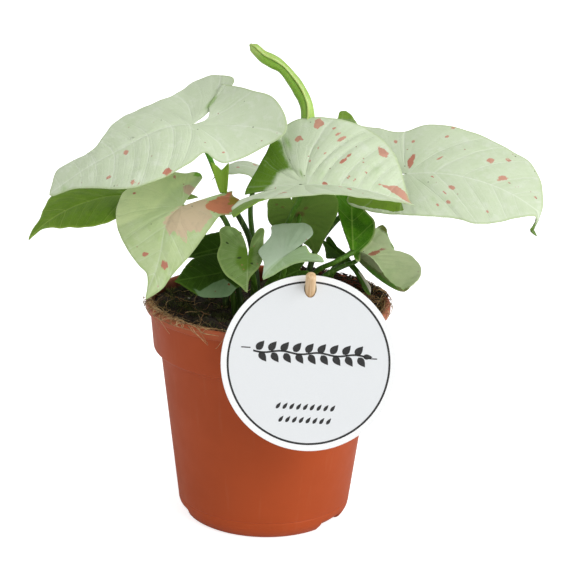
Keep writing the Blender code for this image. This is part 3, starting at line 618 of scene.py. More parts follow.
        splashes=(("deep pink", 2.4, -8.5, 3.0, 0.9), ("pink", 3.2, -13.2, 2.2, 0.6)),
        tints=(
            # painted light in part: pale lime on the blade and cream on the folded-over strip are its own
            # pale colours, lightened where it lies in shade
            ("pale lime", 2.0, ((-9, 0), (-9, -26), (32, -26), (38, -8), (33, 0))),
            ("khaki", 36, -1, 4, 4, 1.0),
            ("vivid green", 2.0, ((6, -2), (6, 5), (16, 5.5), (30, 4), (34, 2), (34, -2))),
            ("cream", 1.5, ((-9, 4), (6, 6), (20, 6.5), (28, 12), (18, 22), (-4, 22))),
        ),
        vein_gap=4.0, quilt=0.4,
    ),
    "narrow": Leaf(
        joint=(37, 11, 128), tip=(50, 6, 111),
        left=((8, 4), (3, 4), (-2, 5), (-10, 6), (-6, 2)),
        right=((8, 4), (3, 4), (-2, 5), (-10, 8), (-6, 2)),
        margins=(
            (
                (22.2, 0.3), (21, 1.2), (19.2, 2.1), (14.9, 1.9), (9.8, 1.8), (3.4, 1.8), (-0.6, 2.6),
                (-7.3, 2.1),
                (-14, 3.1), (-13.5, 0.4), (-7, 0.2),
            ),
            (
                (22.2, 0.3), (20.6, 1.6), (17.9, 2.8), (11.8, 2), (6, 1.8), (0.7, 3.1), (-2.2, 6.3),
                (-4.3, 11),
                (-6.5, 8.5), (-10, 5), (-14, 2), (-13.5, 0.3),
            ),
        ),
        tone="deep", roll=30, arch=2, fold=(20, 20), curl=(0, 0),
        foot=(27, 10), route=((30, 12, 117),),
        tints=(("shell", 1.0, ((9, -4), (24, -4), (24, -0.2), (9, -0.2))),),
        vein_gap=4.0, quilt=0.2, columns=40, rings=16,
    ),
    "low_left": Leaf(
        joint=(-22, -15, 127), tip=(-45, -19, 123),
        left=((9, 13), (0, 14), (-4, 11), (-12, 7), (-7, 3)),
        right=((9, 13), (0, 13), (-5, 12), (-12, 8), (-7, 3)),
        tone="deep", roll=-36, fold=(2, 0), curl=(-9, -10),
        foot=(-16, -9), route=((-18, -10, 117),),
        splashes=(("brown", -1.3, -8, 0.8, 0.6), ("brown", -1.2, 1, 1.0, 0.6), ("brown", 6, -10.3, 0.6, 0.4)),
        tints=(
            ("grey green", 1.5, (
                (-6, -12), (0, -3.5), (6, -4.8), (13, -8), (17, -3), (14, -14), (8, -16), (-4, -16),
            )),
        ),
        vein_gap=5.0,
    ),
    "shaded_left": Leaf(
        joint=(-21, 14, 132), tip=(-42, 12, 126),
        left=((8, 4), (2, 5), (-3, 6), (-9, 6), (-5, 2)),
        right=((8, 9), (2, 9), (-3, 9), (-9, 6), (-5, 2)),
        tone="deep", roll=-50, arch=1,
        foot=(-14, 9), route=((-16, 17, 122), (-18, 18, 129)),
        vein_gap=5.0, columns=40, rings=16,
    ),
    "shaded_centre": Leaf(
        joint=(14, -19, 130), tip=(-3, -20, 121),
        left=((7, 6), (2, 6), (-2, 6), (-6, 5), (-4, 2)),
        right=((7, 6), (2, 6), (-2, 6), (-6, 5), (-4, 2)),
        tone="deep", roll=-60, arch=1,
        foot=(13, -13), route=((14, -14, 118),),
        vein_gap=5.0, columns=40, rings=16,
    ),
    "upright": Leaf(
        joint=(48, 15, 133), tip=(57, 18, 145),
        left=((6, 6), (2, 7), (-2, 7), (-5, 5), (-3, 2)),
        right=((6, 8), (2, 8), (-2, 8), (-5, 5), (-3, 2)),
        margins=(
            ((13.8, 0.3), (12.6, 1.3), (9, 2.5), (5, 3.6), (0, 5), (-3, 4), (-4, 2)),
            ((13.8, 0.3), (13.4, 2.3), (11.7, 4.2), (9.8, 7.4), (7.5, 12), (3, 13), (0, 10), (-4, 6),
                (-4, 2)),
        ),
        tone="mint", roll=75, fold=(8, 8),
        foot=(28, 17), route=((32, 21, 119), (42, 22, 129)),
        tints=(
            ("khaki", 1.6, ((10.5, -6), (16, -6), (16, 6), (11, 4))),
            ("cream", 1.5, ((12, -6), (12, 4), (8, 15), (-6, 15), (-6, -8)), 0.85),
            ("leaf green", 1.5, ((13, 1), (10, 5.5), (6, 12), (8.5, 14), (15, 5))),
        ),
        vein_gap=4.0, columns=40, rings=16,
    ),
    "back_left": Leaf(
        joint=(-5, 36, 165), tip=(-30, 41, 159),
        left=((12, 13), (4, 11), (-3, 14), (-18, 12), (-11, 4)),
        right=((12, 13), (4, 12), (-3, 14), (-18, 12), (-11, 4)),
        roll=-6, arch=6, fold=(3, -2), curl=(-15, -17),
        foot=(-5, 10), route=((-8, 17, 132), (-10, 26, 149), (-8, 33, 160)),
        splashes=(("pink", 4, 6, 1.4, 0.9), ("pink", 10, -5, 1.0, 0.8)),
        vein_gap=5.5,
    ),
    "back_right": Leaf(
        joint=(33, 44, 174), tip=(37, 84, 188),
        left=((16, 14), (5, 15), (-3, 16), (-20, 12), (-13, 4)),
        right=((16, 14), (5, 15), (-3, 16), (-20, 12), (-13, 4)),
        margins=(
            (
                (43.2, 0.3), (42.6, 1.2), (41, 2), (38, 1.9), (35.5, 2.2), (31, 5), (22, 11), (16, 14),
                (5, 15), (-3, 16),
                (-20, 12), (-13, 4),
            ),
            (
                (43.2, 0.3), (43.3, 1.3), (42, 3), (40, 4.4), (37.5, 5.6), (33, 7.5), (22, 12), (16, 14),
                (5, 15), (-3, 16),
                (-20, 12), (-13, 4),
            ),
        ),
        tints=(("moss", 2.0, ((34, -10), (50, -10), (50, 8), (34, 8))),),
        tone="green", roll=4, fold=(4, 4), curl=(-16, -16),
        foot=(10, 14), route=((14, 20, 128), (21, 32, 148), (29, 42, 165)),
        splashes=(("pink", 12, -6, 1.5, 1.0), ("pink", 20, 5, 1.3, 0.8)),
        vein_gap=6.0, columns=70, rings=28,
    ),
}


def unit(vectors):
    """Return each row's vector at length one."""
    vectors = np.asarray(vectors, float)
    return vectors / np.maximum(np.linalg.norm(vectors, axis=-1, keepdims=True), 1e-9)


def ring_turns(count):
    """Return count turns spread evenly round a full circle."""
    return np.arange(count) * math.tau / count


def resampled(points, count):
    """Return count points spread evenly along a run of points."""
    steps = np.linalg.norm(np.diff(points, axis=0), axis=1)
    run = np.concatenate([[0.0], np.cumsum(steps)])
    places = np.linspace(0.0, run[-1], count)
    return np.stack([np.interp(places, run, points[:, k]) for k in range(points.shape[1])], axis=-1)


def smooth_curve(points, count):
    """Return count points on the centripetal Catmull-Rom curve through the points."""
    points = np.asarray(points, float)
    points = np.vstack([2 * points[0] - points[1], points, 2 * points[-1] - points[-2]])
    gaps = np.sqrt(np.maximum(np.linalg.norm(np.diff(points, axis=0), axis=1), 1e-6))
    knots = np.concatenate([[0.0], np.cumsum(gaps)])
    pieces = []
    for i in range(1, len(points) - 2):
        t = np.linspace(knots[i], knots[i + 1], STEPS_PER_SPAN, endpoint=False)[:, None]
        k0, k1, k2, k3 = knots[i - 1:i + 3]
        p0, p1, p2, p3 = points[i - 1:i + 3]
        a1 = (k1 - t) / (k1 - k0) * p0 + (t - k0) / (k1 - k0) * p1
        a2 = (k2 - t) / (k2 - k1) * p1 + (t - k1) / (k2 - k1) * p2
        a3 = (k3 - t) / (k3 - k2) * p2 + (t - k2) / (k3 - k2) * p3
        b1 = (k2 - t) / (k2 - k0) * a1 + (t - k0) / (k2 - k0) * a2
        b2 = (k3 - t) / (k3 - k1) * a2 + (t - k1) / (k3 - k1) * a3
        pieces.append((k2 - t) / (k2 - k1) * b1 + (t - k1) / (k2 - k1) * b2)
    pieces.append(points[-2][None])
    return resampled(np.vstack(pieces), count)


def lattice_noise(places, seed):
    """Return smooth noise from -1 to 1: random values on whole-number lattice points,
    blended between them with the 3t^2 - 2t^3 curve along each axis."""
    places = np.asarray(places, float)
    corner = np.floor(places).astype(np.int64)
    share = places - corner
    share = share * share * (3.0 - 2.0 * share)
    total = np.zeros(places.shape[:-1])
    for step in np.ndindex(2, 2, 2):
        at = corner + np.array(step)
        mixed = at[..., 0] * 374761393 + at[..., 1] * 668265263 + at[..., 2] * 2147483647 + seed * 1274126177
        mixed = (mixed ^ (mixed >> 13)) * 1103515245
        value = ((mixed ^ (mixed >> 16)) & 65535) / 32767.5 - 1.0
        weight = np.prod(np.where(np.array(step) == 1, share, 1.0 - share), axis=-1)
        total += value * weight
    return total


def layered_noise(places, seed, layers=3):
    """Return lattice noise summed over layers, each twice as fine and half as high."""
    places = np.asarray(places, float)
    return sum(lattice_noise(places * 2.0 ** k + 17.3 * k, seed + k) / 2.0 ** k for k in range(layers))


def smooth_step(values, low, high):
    """Return 0 below low, 1 above high and a smooth rise between."""
    share = np.clip((np.asarray(values, float) - low) / (high - low), 0.0, 1.0)
    return share * share * (3.0 - 2.0 * share)


def add_object(name, data):
    """Add an object to the scene."""
    made = bpy.data.objects.new(name, data)
    bpy.context.scene.collection.objects.link(made)
    return made


def add_piece(name, points, faces, shader, nodes, sharp=None):
    """Make a piece from points in millimetres and arrays of faces, riding on the plant's body.

    faces is a list of whole-number arrays, each of one face size."""
    mesh = bpy.data.meshes.new(name)
    rows = [row for group in faces for row in np.asarray(group, int).tolist()]
    mesh.from_pydata((np.asarray(points) * MM).tolist(), [], rows)
    mesh.shade_smooth()
    if sharp:
        mesh.set_sharp_from_angle(angle=math.radians(sharp))
    mesh.materials.append(shader)
    piece = add_object(name, mesh)
    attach(piece, BODY)
    if nodes:
        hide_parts(*nodes)
    return piece


def add_values(piece, name, values):
    """Give a piece one number at each point, for its material to read."""
    layer = piece.data.attributes.new(name, "FLOAT", "POINT")
    layer.data.foreach_set("value", np.ascontiguousarray(values, dtype=np.float32).ravel())


def add_paint(piece, name, colours):
    """Give a piece a colour and a strength at each point, for its material to read."""
    layer = piece.data.attributes.new(name, "FLOAT_COLOR", "POINT")
    layer.data.foreach_set("color", np.ascontiguousarray(colours, dtype=np.float32).ravel())


def add_map(piece, name, places):
    """Give a piece a flat map of two numbers at each point."""
    corners = np.zeros(len(piece.data.loops), dtype=np.int32)
    piece.data.loops.foreach_get("vertex_index", corners)
    layer = piece.data.uv_layers.new(name=name)
    layer.data.foreach_set("uv", np.asarray(places, dtype=np.float32)[corners].ravel())


def grid_faces(rows, columns, closed_columns=False, closed_rows=False, start=0):
    """Return the four-sided faces of a grid of points, row after row."""
    row = np.arange(rows if closed_rows else rows - 1)[:, None]
    column = np.arange(columns if closed_columns else columns - 1)[None, :]
    next_row = (row + 1) % rows
    next_column = (column + 1) % columns
    corners = (
        row * columns + column, row * columns + next_column,
        next_row * columns + next_column, next_row * columns + column,
    )
    return np.stack(np.broadcast_arrays(*corners), axis=-1).reshape(-1, 4) + start


def cap_faces(centre, ring, flip=False):
    """Return the triangles from a middle point to a closed ring of points."""
    ring = np.asarray(ring)
    after = np.roll(ring, -1)
    middle = np.full(len(ring), centre)
    order = (middle, after, ring) if flip else (middle, ring, after)
    return np.stack(order, axis=-1)


def rim_faces(loop, count):
    """Return the four-sided faces between a closed loop and the same loop count points on."""
    after = np.roll(loop, -1)
    return np.stack([loop, after, after + count, loop + count], axis=-1)


def turned_faces(rows, sides):
    """Return the faces of a closed pile of rings whose two middle points come last."""
    count = rows * sides
    return [
        grid_faces(rows, sides, closed_columns=True),
        cap_faces(count, np.arange(sides), flip=True),
        cap_faces(count + 1, np.arange(count - sides, count)),
    ]


def polar(radius, turn):
    """Return the x and y of a place from its radius and its turn."""
    return radius * np.cos(turn), radius * np.sin(turn)


def path_frames(line):
    """Return a path's headings and two cross directions, carried along it without twist."""
    headings = unit(np.gradient(line, axis=0))
    sides = np.empty_like(headings)
    side = np.cross(headings[0], (0.0, 1.0, 0.2))
    for i, heading in enumerate(headings):
        side = unit(side - (side @ heading) * heading)
        sides[i] = side
    return headings, sides, np.cross(headings, sides)


def tube_mesh(line, radii, sides, ridge=0.0):
    """Return a closed tube carried along a path: points, then faces.

    Each section is a circle of the path's radius there, dented on one side by
    ridge times the eighth power of the cosine of half the turn from that side."""
    line = np.asarray(line, float)
    radii = np.broadcast_to(np.asarray(radii, float), len(line))
    _, first, second = path_frames(line)
    turns = ring_turns(sides)
    reach = radii[:, None] * (1.0 - ridge * np.cos((turns - 2.0) / 2.0) ** 8)[None, :]
    spread = np.cos(turns)[None, :, None] * first[:, None] + np.sin(turns)[None, :, None] * second[:, None]
    rings = line[:, None] + reach[..., None] * spread
    points = np.vstack([rings.reshape(-1, 3), line[:1], line[-1:]])
    return points, turned_faces(len(line), sides)


def many_tubes(lines, radii, sides):
    """Return many closed tubes as one mesh.

    lines is an array of paths, each with the same number of points, and radii an
    array of their radii. Each section is a circle across the path, as for one tube."""
    lines = np.asarray(lines, float)
    count, steps, _ = lines.shape
    headings = unit(np.gradient(lines, axis=1))
    first = unit(np.cross(headings, (0.31, 0.52, 0.79)))
    second = np.cross(headings, first)
    turns = ring_turns(sides)
    spread = (
        np.cos(turns)[None, None, :, None] * first[:, :, None]
        + np.sin(turns)[None, None, :, None] * second[:, :, None]
    )
    points = lines[:, :, None] + np.asarray(radii)[..., None, None] * spread
    each = steps * sides
    starts = (np.arange(count) * each)[:, None, None]
    sheet = (grid_faces(steps, sides, closed_columns=True)[None] + starts).reshape(-1, 4)
    low = (np.arange(sides)[::-1][None] + starts[:, 0]).reshape(count, sides)
    high = (np.arange(each - sides, each)[None] + starts[:, 0]).reshape(count, sides)
    return points.reshape(-1, 3), [sheet, low, high]


def leaf_length(leaf):
    """Return the straight distance from the joint to the tip."""
    return float(np.linalg.norm(np.subtract(leaf.tip, leaf.joint)))


def leaf_axes(leaf):
    """Return the unit vectors along the midrib, to the right and off the upper face."""
    along = unit(np.subtract(leaf.tip, leaf.joint))
    level = unit(np.cross(along, (0.0, 0.0, 1.0)))
    above = np.cross(level, along)
    roll = math.radians(leaf.roll)
    right = math.cos(roll) * level - math.sin(roll) * above
    return along, right, np.cross(right, along)


def half_outline(leaf, side, count):
    """Return one half's margin from the tip to the cleft, as (along, across) points.

    It runs through the full outline, where there is one. Otherwise it falls from the
    widest place to the tip as a power of a cosine."""
    if leaf.margins[side]:
        return smooth_curve(leaf.margins[side], count)
    length = leaf_length(leaf)
    marks = (leaf.left, leaf.right)[side]
    wide = marks[0]
    head = []
    for share in HEAD_SHARES:
        across = wide[1] * math.cos(math.pi * share / 2) ** leaf.taper[side]
        head.append((wide[0] + share * (length - wide[0]), across))
    return smooth_curve(head + list(marks), count)


def midrib_frame(leaf, along):
    """Return the midrib's points and the blade's frame there: heading, level, normal.

    The midrib is a parabola from joint to tip, raised by arch and bent sideways by
    sway. Behind the joint it stays at the joint."""
    _, right, normal = leaf_axes(leaf)
    joint, tip = np.array(leaf.joint, float), np.array(leaf.tip, float)
    handle = (joint + tip) / 2 + 2 * leaf.arch * normal + 2 * leaf.sway * right
    share = np.clip(np.asarray(along) / leaf_length(leaf), 0.0, None)[..., None]
    centre = (1 - share) ** 2 * joint + 2 * share * (1 - share) * handle + share ** 2 * tip
    heading = unit(2 * (1 - share) * (handle - joint) + 2 * share * (tip - handle))
    level = unit(right - (heading @ right)[..., None] * heading)
    return centre, heading, level, np.cross(level, heading)


def place_on_leaf(leaf, along, across, side):
    """Return where (along, across) points of one half lie in space.

    Behind the joint the frame goes on as an arc that lift bends up. Across it, the
    blade leaves at the fold angle and bends evenly by curl up to the margin."""
    centre, heading, level, normal = midrib_frame(leaf, along)
    marks = (leaf.left, leaf.right)[side]
    lobe = max(-min(point[0] for point in marks), 1.0)
    half_width = max(point[1] for point in marks)
    behind = np.clip(-along, 0.0, None)
    lift = math.radians(leaf.lift[side] or LEAST_ANGLE)
    bend = lift / lobe * behind
    centre = centre - (np.sin(bend) * lobe / lift)[..., None] * heading
    centre = centre + ((1 - np.cos(bend)) * lobe / lift)[..., None] * normal
    normal = normal * np.cos(bend)[..., None] + heading * np.sin(bend)[..., None]
    fold = math.radians(leaf.fold[side])
    rate = math.radians(leaf.curl[side] or LEAST_ANGLE) / half_width
    outward = (np.sin(fold + rate * across) - math.sin(fold)) / rate
    upward = (math.cos(fold) - np.cos(fold + rate * across)) / rate
    sign = (-1.0, 1.0)[side]
    return centre + (sign * outward)[..., None] * level + upward[..., None] * normal


def midrib_offset(leaf, along, across, half):
    """Return each point's distance from the bowed midrib and the half it lies in.

    half is -1 in the left half and 1 in the right one. Ahead of the joint the midrib
    swings to the right by bow times a times e to the power 1 - a, a being along over
    BOW_REACH; the half is then the side of it."""
    share = np.clip(along, 0.0, None) / BOW_REACH
    offset = across - leaf.bow * share * np.exp(1.0 - share)
    return offset, np.where(along > 0.0, np.where(offset < 0.0, -1.0, 1.0), half)


def vein_run(leaf, along, across, half):
    """Return how far along the midrib a point's side vein starts, and how far down it lies.

    Ahead of the first side vein the run is the along distance less slope times the
    distance from the midrib and VEIN_BEND times its square. Behind it the veins fan out
    from the joint: there it is minus FAN_RADIUS times the angle from the first vein."""
    offset, half = midrib_offset(leaf, along, across, half)
    away = offset * half
    slope = np.where(half < 0.0, leaf.slopes[0], leaf.slopes[1])
    ahead = along - slope * away - VEIN_BEND * away ** 2
    turn = np.arctan2(away, along) % math.tau
    first_turn = np.arctan2(1.0, slope + VEIN_BEND * np.abs(away))
    behind = np.minimum(-FAN_RADIUS * (turn - first_turn), 0.0)
    down = away * np.hypot(1.0, slope + VEIN_BEND * away)
    front = ahead >= 0.0
    return np.where(front, ahead, behind), np.where(front, down, np.hypot(along, away))


def oval_depth(leaf, along, across, middle_along, middle_across, half_length, half_width):
    """Return 1 at an oval's middle, falling evenly to 0 on its edge and on outside it."""
    slope = leaf.slopes[0 if middle_across < 0 else 1]
    if middle_along >= slope * abs(middle_across):
        lie = unit((slope + 2 * VEIN_BEND * abs(middle_across), math.copysign(1.0, middle_across)))
    else:
        lie = unit((middle_along, middle_across))
    offset = np.stack([along - middle_along, across - middle_across], axis=-1)
    down = (offset @ lie) / half_length
    over = (offset @ np.array((-lie[1], lie[0]))) / half_width
    return 1.0 - np.hypot(down, over)


def corner_depth(along, across, corners):
    """Return the distance to the nearest side of a many-cornered shape, negative outside it."""
    corners = np.array(corners, float)
    places = np.stack([along, across], axis=-1)
    nearest = np.full(along.shape, np.inf)
    inside = np.zeros(along.shape, bool)
    for start, end in zip(corners, np.roll(corners, -1, axis=0)):
        side = end - start
        offset = places - start
        share = np.clip(offset @ side / (side @ side), 0.0, 1.0)
        nearest = np.minimum(nearest, np.linalg.norm(offset - share[..., None] * side, axis=-1))
        spans = (start[1] > across) != (end[1] > across)
        meets = start[0] + (across - start[1]) * side[0] / (side[1] or 1e-9)
        inside ^= spans & (along < meets)
    return np.where(inside, nearest, -nearest)


def marking_fields(leaf, along, across, marks):
    """Return the strongest mark's colour and how deep inside it each point lies.

    The depth is 1 at an oval's middle, 0 on its edge and -1 from twice that far out;
    its long axis follows the side vein there. In a mark given by its corners it is the
    distance to the nearest side over the softness."""
    depth = np.full(along.shape, -1.0)
    colours = np.zeros(along.shape + (3,))
    for mark in marks:
        if isinstance(mark[2], tuple):
            strength = mark[3] if len(mark) > 3 else 1.0
            here = np.clip(corner_depth(along, across, mark[2]) / mark[1], -1.0, 1.0) * strength
        else:
            strength = mark[5] if len(mark) > 5 else 1.0
            here = np.clip(oval_depth(leaf, along, across, *mark[1:5]), -1.0, 1.0) * strength
        better = here > depth
        depth = np.where(better, here, depth)
        colours[better] = linear(SPLASH_COLOURS[mark[0]])
    return np.concatenate([colours, depth[..., None]], axis=-1)


def blade_relief(leaf, along, across, half, edge, quilt):
    """Return how far the blade's middle surface stands off its plain shape.

    Between side veins it swells as a power of the sine of the vein run, more faintly
    near the midrib, the joint and the margin, with slow noise."""
    run, _ = vein_run(leaf, along, across, half)
    run = run + 1.3 * np.sin(run * math.tau / 23.0 + along[0, 0])
    swell = np.abs(np.sin(math.pi * run / leaf.vein_gap)) ** 0.6 - 0.7
    offset, _ = midrib_offset(leaf, along, across, half)
    fade = smooth_step(edge, 0.5, 5.0) * smooth_step(np.abs(offset), 0.3, 4.0)
    fade = fade * smooth_step(np.hypot(along, across), 3.0, 10.0)
    relief = quilt * swell * fade
    flat = np.stack([along / 17.0, across / 13.0, np.zeros_like(along)], axis=-1)
    past_joint = smooth_step(np.hypot(along, across), 0.0, 8.0)
    relief = relief + 0.45 * quilt * layered_noise(flat, 5, 3) * past_joint
    return relief


def ring_shares(rings):
    """Return the rings' distances from the joint as shares, the last three close together."""
    inner = np.linspace(0.0, 0.985, rings - 1)[1:]
    return np.concatenate([inner, [0.994, 1.0]])


def opened_cleft(leaf, along, away):
    """Return the left half's grid with its last rays turned back from the cleft.

    The turn is the opening's angle near the joint, nothing from its reach on, and
    falls off towards the rays a third of a turn before the last one."""
    turn = np.arctan2(away, along) % math.tau
    reach = np.hypot(along, away)
    last = turn[:, :1]
    back = math.radians(leaf.opening[0]) * smooth_step(turn, last - 1.1, last)
    turn = turn - back * (1.0 - smooth_step(reach, 0.3 * leaf.opening[1], leaf.opening[1]))
    return polar(reach, turn)


def fanned(outline):
    """Return an outline whose points' turns about the joint always grow, by LEAST_TURN at least."""
    turn = (np.arctan2(outline[:, 1], outline[:, 0]) + 0.5) % math.tau - 0.5
    steps = LEAST_TURN * np.arange(len(outline))
    turn = np.maximum.accumulate(turn - steps) + steps
    reach = np.hypot(outline[:, 0], outline[:, 1])
    return np.stack(polar(reach, turn), axis=-1)


def blade_shape(leaf, settings):
    """Return a blade's middle surface on its fan grid, and what its skins need.

    A grid point is a share of the way from the joint to a margin point, placed on the
    leaf, then moved along the surface normal by the margin's wave and the relief."""
    detail = settings.detail
    columns = max(int(leaf.columns * detail), 12)
    rings = max(int(leaf.rings * detail), 8)
    left = fanned(half_outline(leaf, 0, columns))[::-1]
    right = fanned(half_outline(leaf, 1, columns))[1:]
    margin = np.vstack([left, right])
    signs = np.concatenate([-np.ones(len(left)), np.ones(len(right))])
    shares = ring_shares(rings)
    along = shares[:, None] * margin[:, 0]
    away = shares[:, None] * margin[:, 1]
    count = len(left)
    if leaf.opening[0]:
        along[:, :count], away[:, :count] = opened_cleft(leaf, along[:, :count], away[:, :count])
    points = np.concatenate([
        place_on_leaf(leaf, along[:, :count], away[:, :count], 0),
        place_on_leaf(leaf, along[:, count:], away[:, count:], 1),
    ], axis=1)
    normals = unit(np.cross(np.gradient(points, axis=1), np.gradient(points, axis=0)))
    across = away * signs
    outline = np.stack([margin[:, 0], margin[:, 1] * signs], axis=-1)
    tangent = np.gradient(outline, axis=0)
    reach = np.abs(outline[:, 0] * tangent[:, 1] - outline[:, 1] * tangent[:, 0])
    reach = np.maximum(reach / np.linalg.norm(tangent, axis=1), 0.3 * np.hypot(outline[:, 0], outline[:, 1]))
    edge = (1.0 - shares)[:, None] * reach
    turns = MARGIN_WAVES * math.tau * np.linspace(-1.0, 1.0, along.shape[1])
    wave = leaf.wave * shares[:, None] ** 3 * np.sin(turns)
    ripple = 0.12 * shares[:, None] ** 4 * np.sin(3.7 * turns + 1.0)
    half = np.broadcast_to(signs, along.shape)
    relief = blade_relief(leaf, along, across, half, edge, leaf.quilt * settings.quilt)
    points = points + (wave + ripple + relief)[..., None] * normals
    if leaf.hook:
        bent = np.clip((along - leaf.hook[0]) / (leaf_length(leaf) - leaf.hook[0]), 0.0, 1.0)
        points[..., 2] -= leaf.hook[1] * bent ** 1.3 * np.exp(-(across / 3.0) ** 2)
        points[..., 0] -= leaf.hook[2] * bent ** 3
    normals = unit(np.cross(np.gradient(points, axis=1), np.gradient(points, axis=0)))
    return points, normals, along, across, half, edge


def blade_skins(leaf, settings):
    """Return a blade as a closed sheet: points, faces, and each point's place on the leaf.

    Both skins stand half the thickness off the middle surface, less towards the
    margin. A groove along the midrib is cut in the upper one, and a rib is raised
    on the lower one; both are bell curves of the distance from the midrib."""
    points, normals, along, across, side, edge = blade_shape(leaf, settings)
    offset, _ = midrib_offset(leaf, along, across, side)
    rings, columns = along.shape
    half = settings.thickness / MM / 2 * np.sqrt(np.clip(edge / 0.7, 0.12, 1.0))
    length = leaf_length(leaf)
    ahead = smooth_step(along, -1.0, 3.0) * (1.0 - 0.8 * smooth_step(along, 0.3 * length, length))
    bell = settings.quilt * np.exp(-offset ** 2) * ahead
    groove, rib = MIDRIB_GROOVE * bell, MIDRIB_RIB * bell
    joint = np.array(leaf.joint, float)
    joint_normal = unit(normals[0].mean(axis=0))
    thick = settings.thickness / MM / 2
    upper = (points + (half - groove)[..., None] * normals).reshape(-1, 3)
    lower = (points - (half + rib)[..., None] * normals).reshape(-1, 3)
    upper = np.vstack([joint + thick * joint_normal, upper])
    lower = np.vstack([joint - thick * joint_normal, lower])
    count = len(upper)
    first_ring = np.arange(1, columns + 1)
    fan = np.stack([np.zeros(columns - 1, int), first_ring[1:], first_ring[:-1]], axis=-1)
    sheet = grid_faces(rings, columns, start=1)
    left_edge = 1 + np.arange(rings - 1) * columns
    margin = np.arange(1 + (rings - 1) * columns, count)
    right_edge = (left_edge + columns - 1)[::-1]
    loop = np.concatenate([[0], left_edge, margin, right_edge])
    rim = rim_faces(loop, count)
    faces = [fan, sheet, fan[:, ::-1] + count, sheet[:, [0, 3, 2, 1]] + count, rim]
    places = {
        "along": np.tile(np.concatenate([[0.0], along.ravel()]), 2),
        "across": np.tile(np.concatenate([[0.0], across.ravel()]), 2),
        "offset": np.tile(np.concatenate([[0.0], offset.ravel()]), 2),
        "side": np.tile(np.concatenate([[1.0], side.ravel()]), 2),
        "edge": np.tile(np.concatenate([[edge.max()], edge.ravel()]), 2),
        "under": np.repeat([0.0, 1.0], count),
    }
    return np.vstack([upper, lower]), faces, places


def build_blade(name, leaf, settings, shader):
    """Make one leaf's blade with its maps, markings and material."""
    points, faces, places = blade_skins(leaf, settings)
    piece = add_piece("blade_" + name, points, faces, shader, ["leaf_" + name])
    along, across = places["along"], places["across"]
    run, down = vein_run(leaf, along, across, places["side"])
    run = run + 1.3 * np.sin(run * math.tau / 23.0 + along[1])
    add_map(piece, "veins", np.stack([run, down], axis=-1) / leaf.vein_gap)
    add_map(piece, "blade", np.stack([along, places["offset"]], axis=-1) / 100.0)
    add_paint(piece, "splash", marking_fields(leaf, along, across, leaf.splashes))
    tint = marking_fields(leaf, along, across, leaf.tints)
    tint[:, 3] = np.clip(tint[:, 3] * 1.6, 0.0, 1.0)
    add_paint(piece, "tint", tint)
    add_values(piece, "edge", places["edge"])
    add_values(piece, "under", places["under"])


def soil_height(x, y):
    """Return the peat's height above a point, a few slow waves over a level bed."""
    waves = np.sin(0.13 * x + 1.1) * np.cos(0.11 * y - 0.4) + 0.5 * np.sin(0.23 * (x + y))
    return SOIL_Z + SOIL_BUMP * waves


def petiole_line(foot, route, end, count):
    """Return a petiole's centre line: straight up out of the peat, then on to its end."""
    x, y = foot
    z = float(soil_height(x, y))
    start = [(x, y, z - ROOTING_DEPTH + PEAT_GAP), (x, y, z - ROOTING_DEPTH / 2), (x, y, z + STRAIGHT_FOOT)]
    return smooth_curve(start + [tuple(point) for point in route] + [tuple(end)], count)


def petiole_top(leaf):
    """Return the petiole's end, just clear of the blade's underside at the joint."""
    joint, _, _, normal = midrib_frame(leaf, 0.0)
    heading = unit(joint - np.array(leaf.route[-1], float))
    slope = math.sqrt(max(1.0 - float(heading @ normal) ** 2, 0.0))
    return joint - (CAD_BLADE_THICK / 2 + SEAT_GAP + PETIOLE_TOP_RADIUS * slope) * normal


def build_petiole(name, line, shader, node, joint=None):
    """Make one grooved petiole, which runs on into its blade's joint."""
    if joint is not None:
        line = np.vstack([line, (line[-1] + joint) / 2, joint])
        line = resampled(line, len(line))
    share = np.linspace(0.0, 1.0, len(line))
    radii = PETIOLE_FOOT_RADIUS + (PETIOLE_TOP_RADIUS - PETIOLE_FOOT_RADIUS) * np.sqrt(share)
    if joint is not None:
        radii = radii * (1.0 - 0.55 * smooth_step(share, 0.97, 1.0))
    points, faces = tube_mesh(line, radii, PETIOLE_SIDES, ridge=0.18)
    piece = add_piece("stalk_" + name, points, faces, shader, [node])
    add_values(piece, "rise", np.concatenate([np.repeat(share, PETIOLE_SIDES), [0.0, 1.0]]))


def thick_sheet(middle, half):
    """Return a grid of points as a closed sheet: points, then faces.

    The two skins stand half off the middle grid along its normals."""
    rows, columns, _ = middle.shape
    normals = unit(np.cross(np.gradient(middle, axis=1), np.gradient(middle, axis=0)))
    half = np.broadcast_to(np.asarray(half, float), (rows, columns))[..., None]
    count = rows * columns
    points = np.vstack([(middle + half * normals).reshape(-1, 3), (middle - half * normals).reshape(-1, 3)])
    sheet = grid_faces(rows, columns)
    number = np.arange(count).reshape(rows, columns)
    loop = np.concatenate([number[:, 0], number[-1, 1:], number[-2::-1, -1], number[0, -2:0:-1]])
    after = np.roll(loop, -1)
    rim = np.stack([loop, after, after + count, loop + count], axis=-1)
    return points, [sheet, sheet[:, [0, 3, 2, 1]] + count, rim]


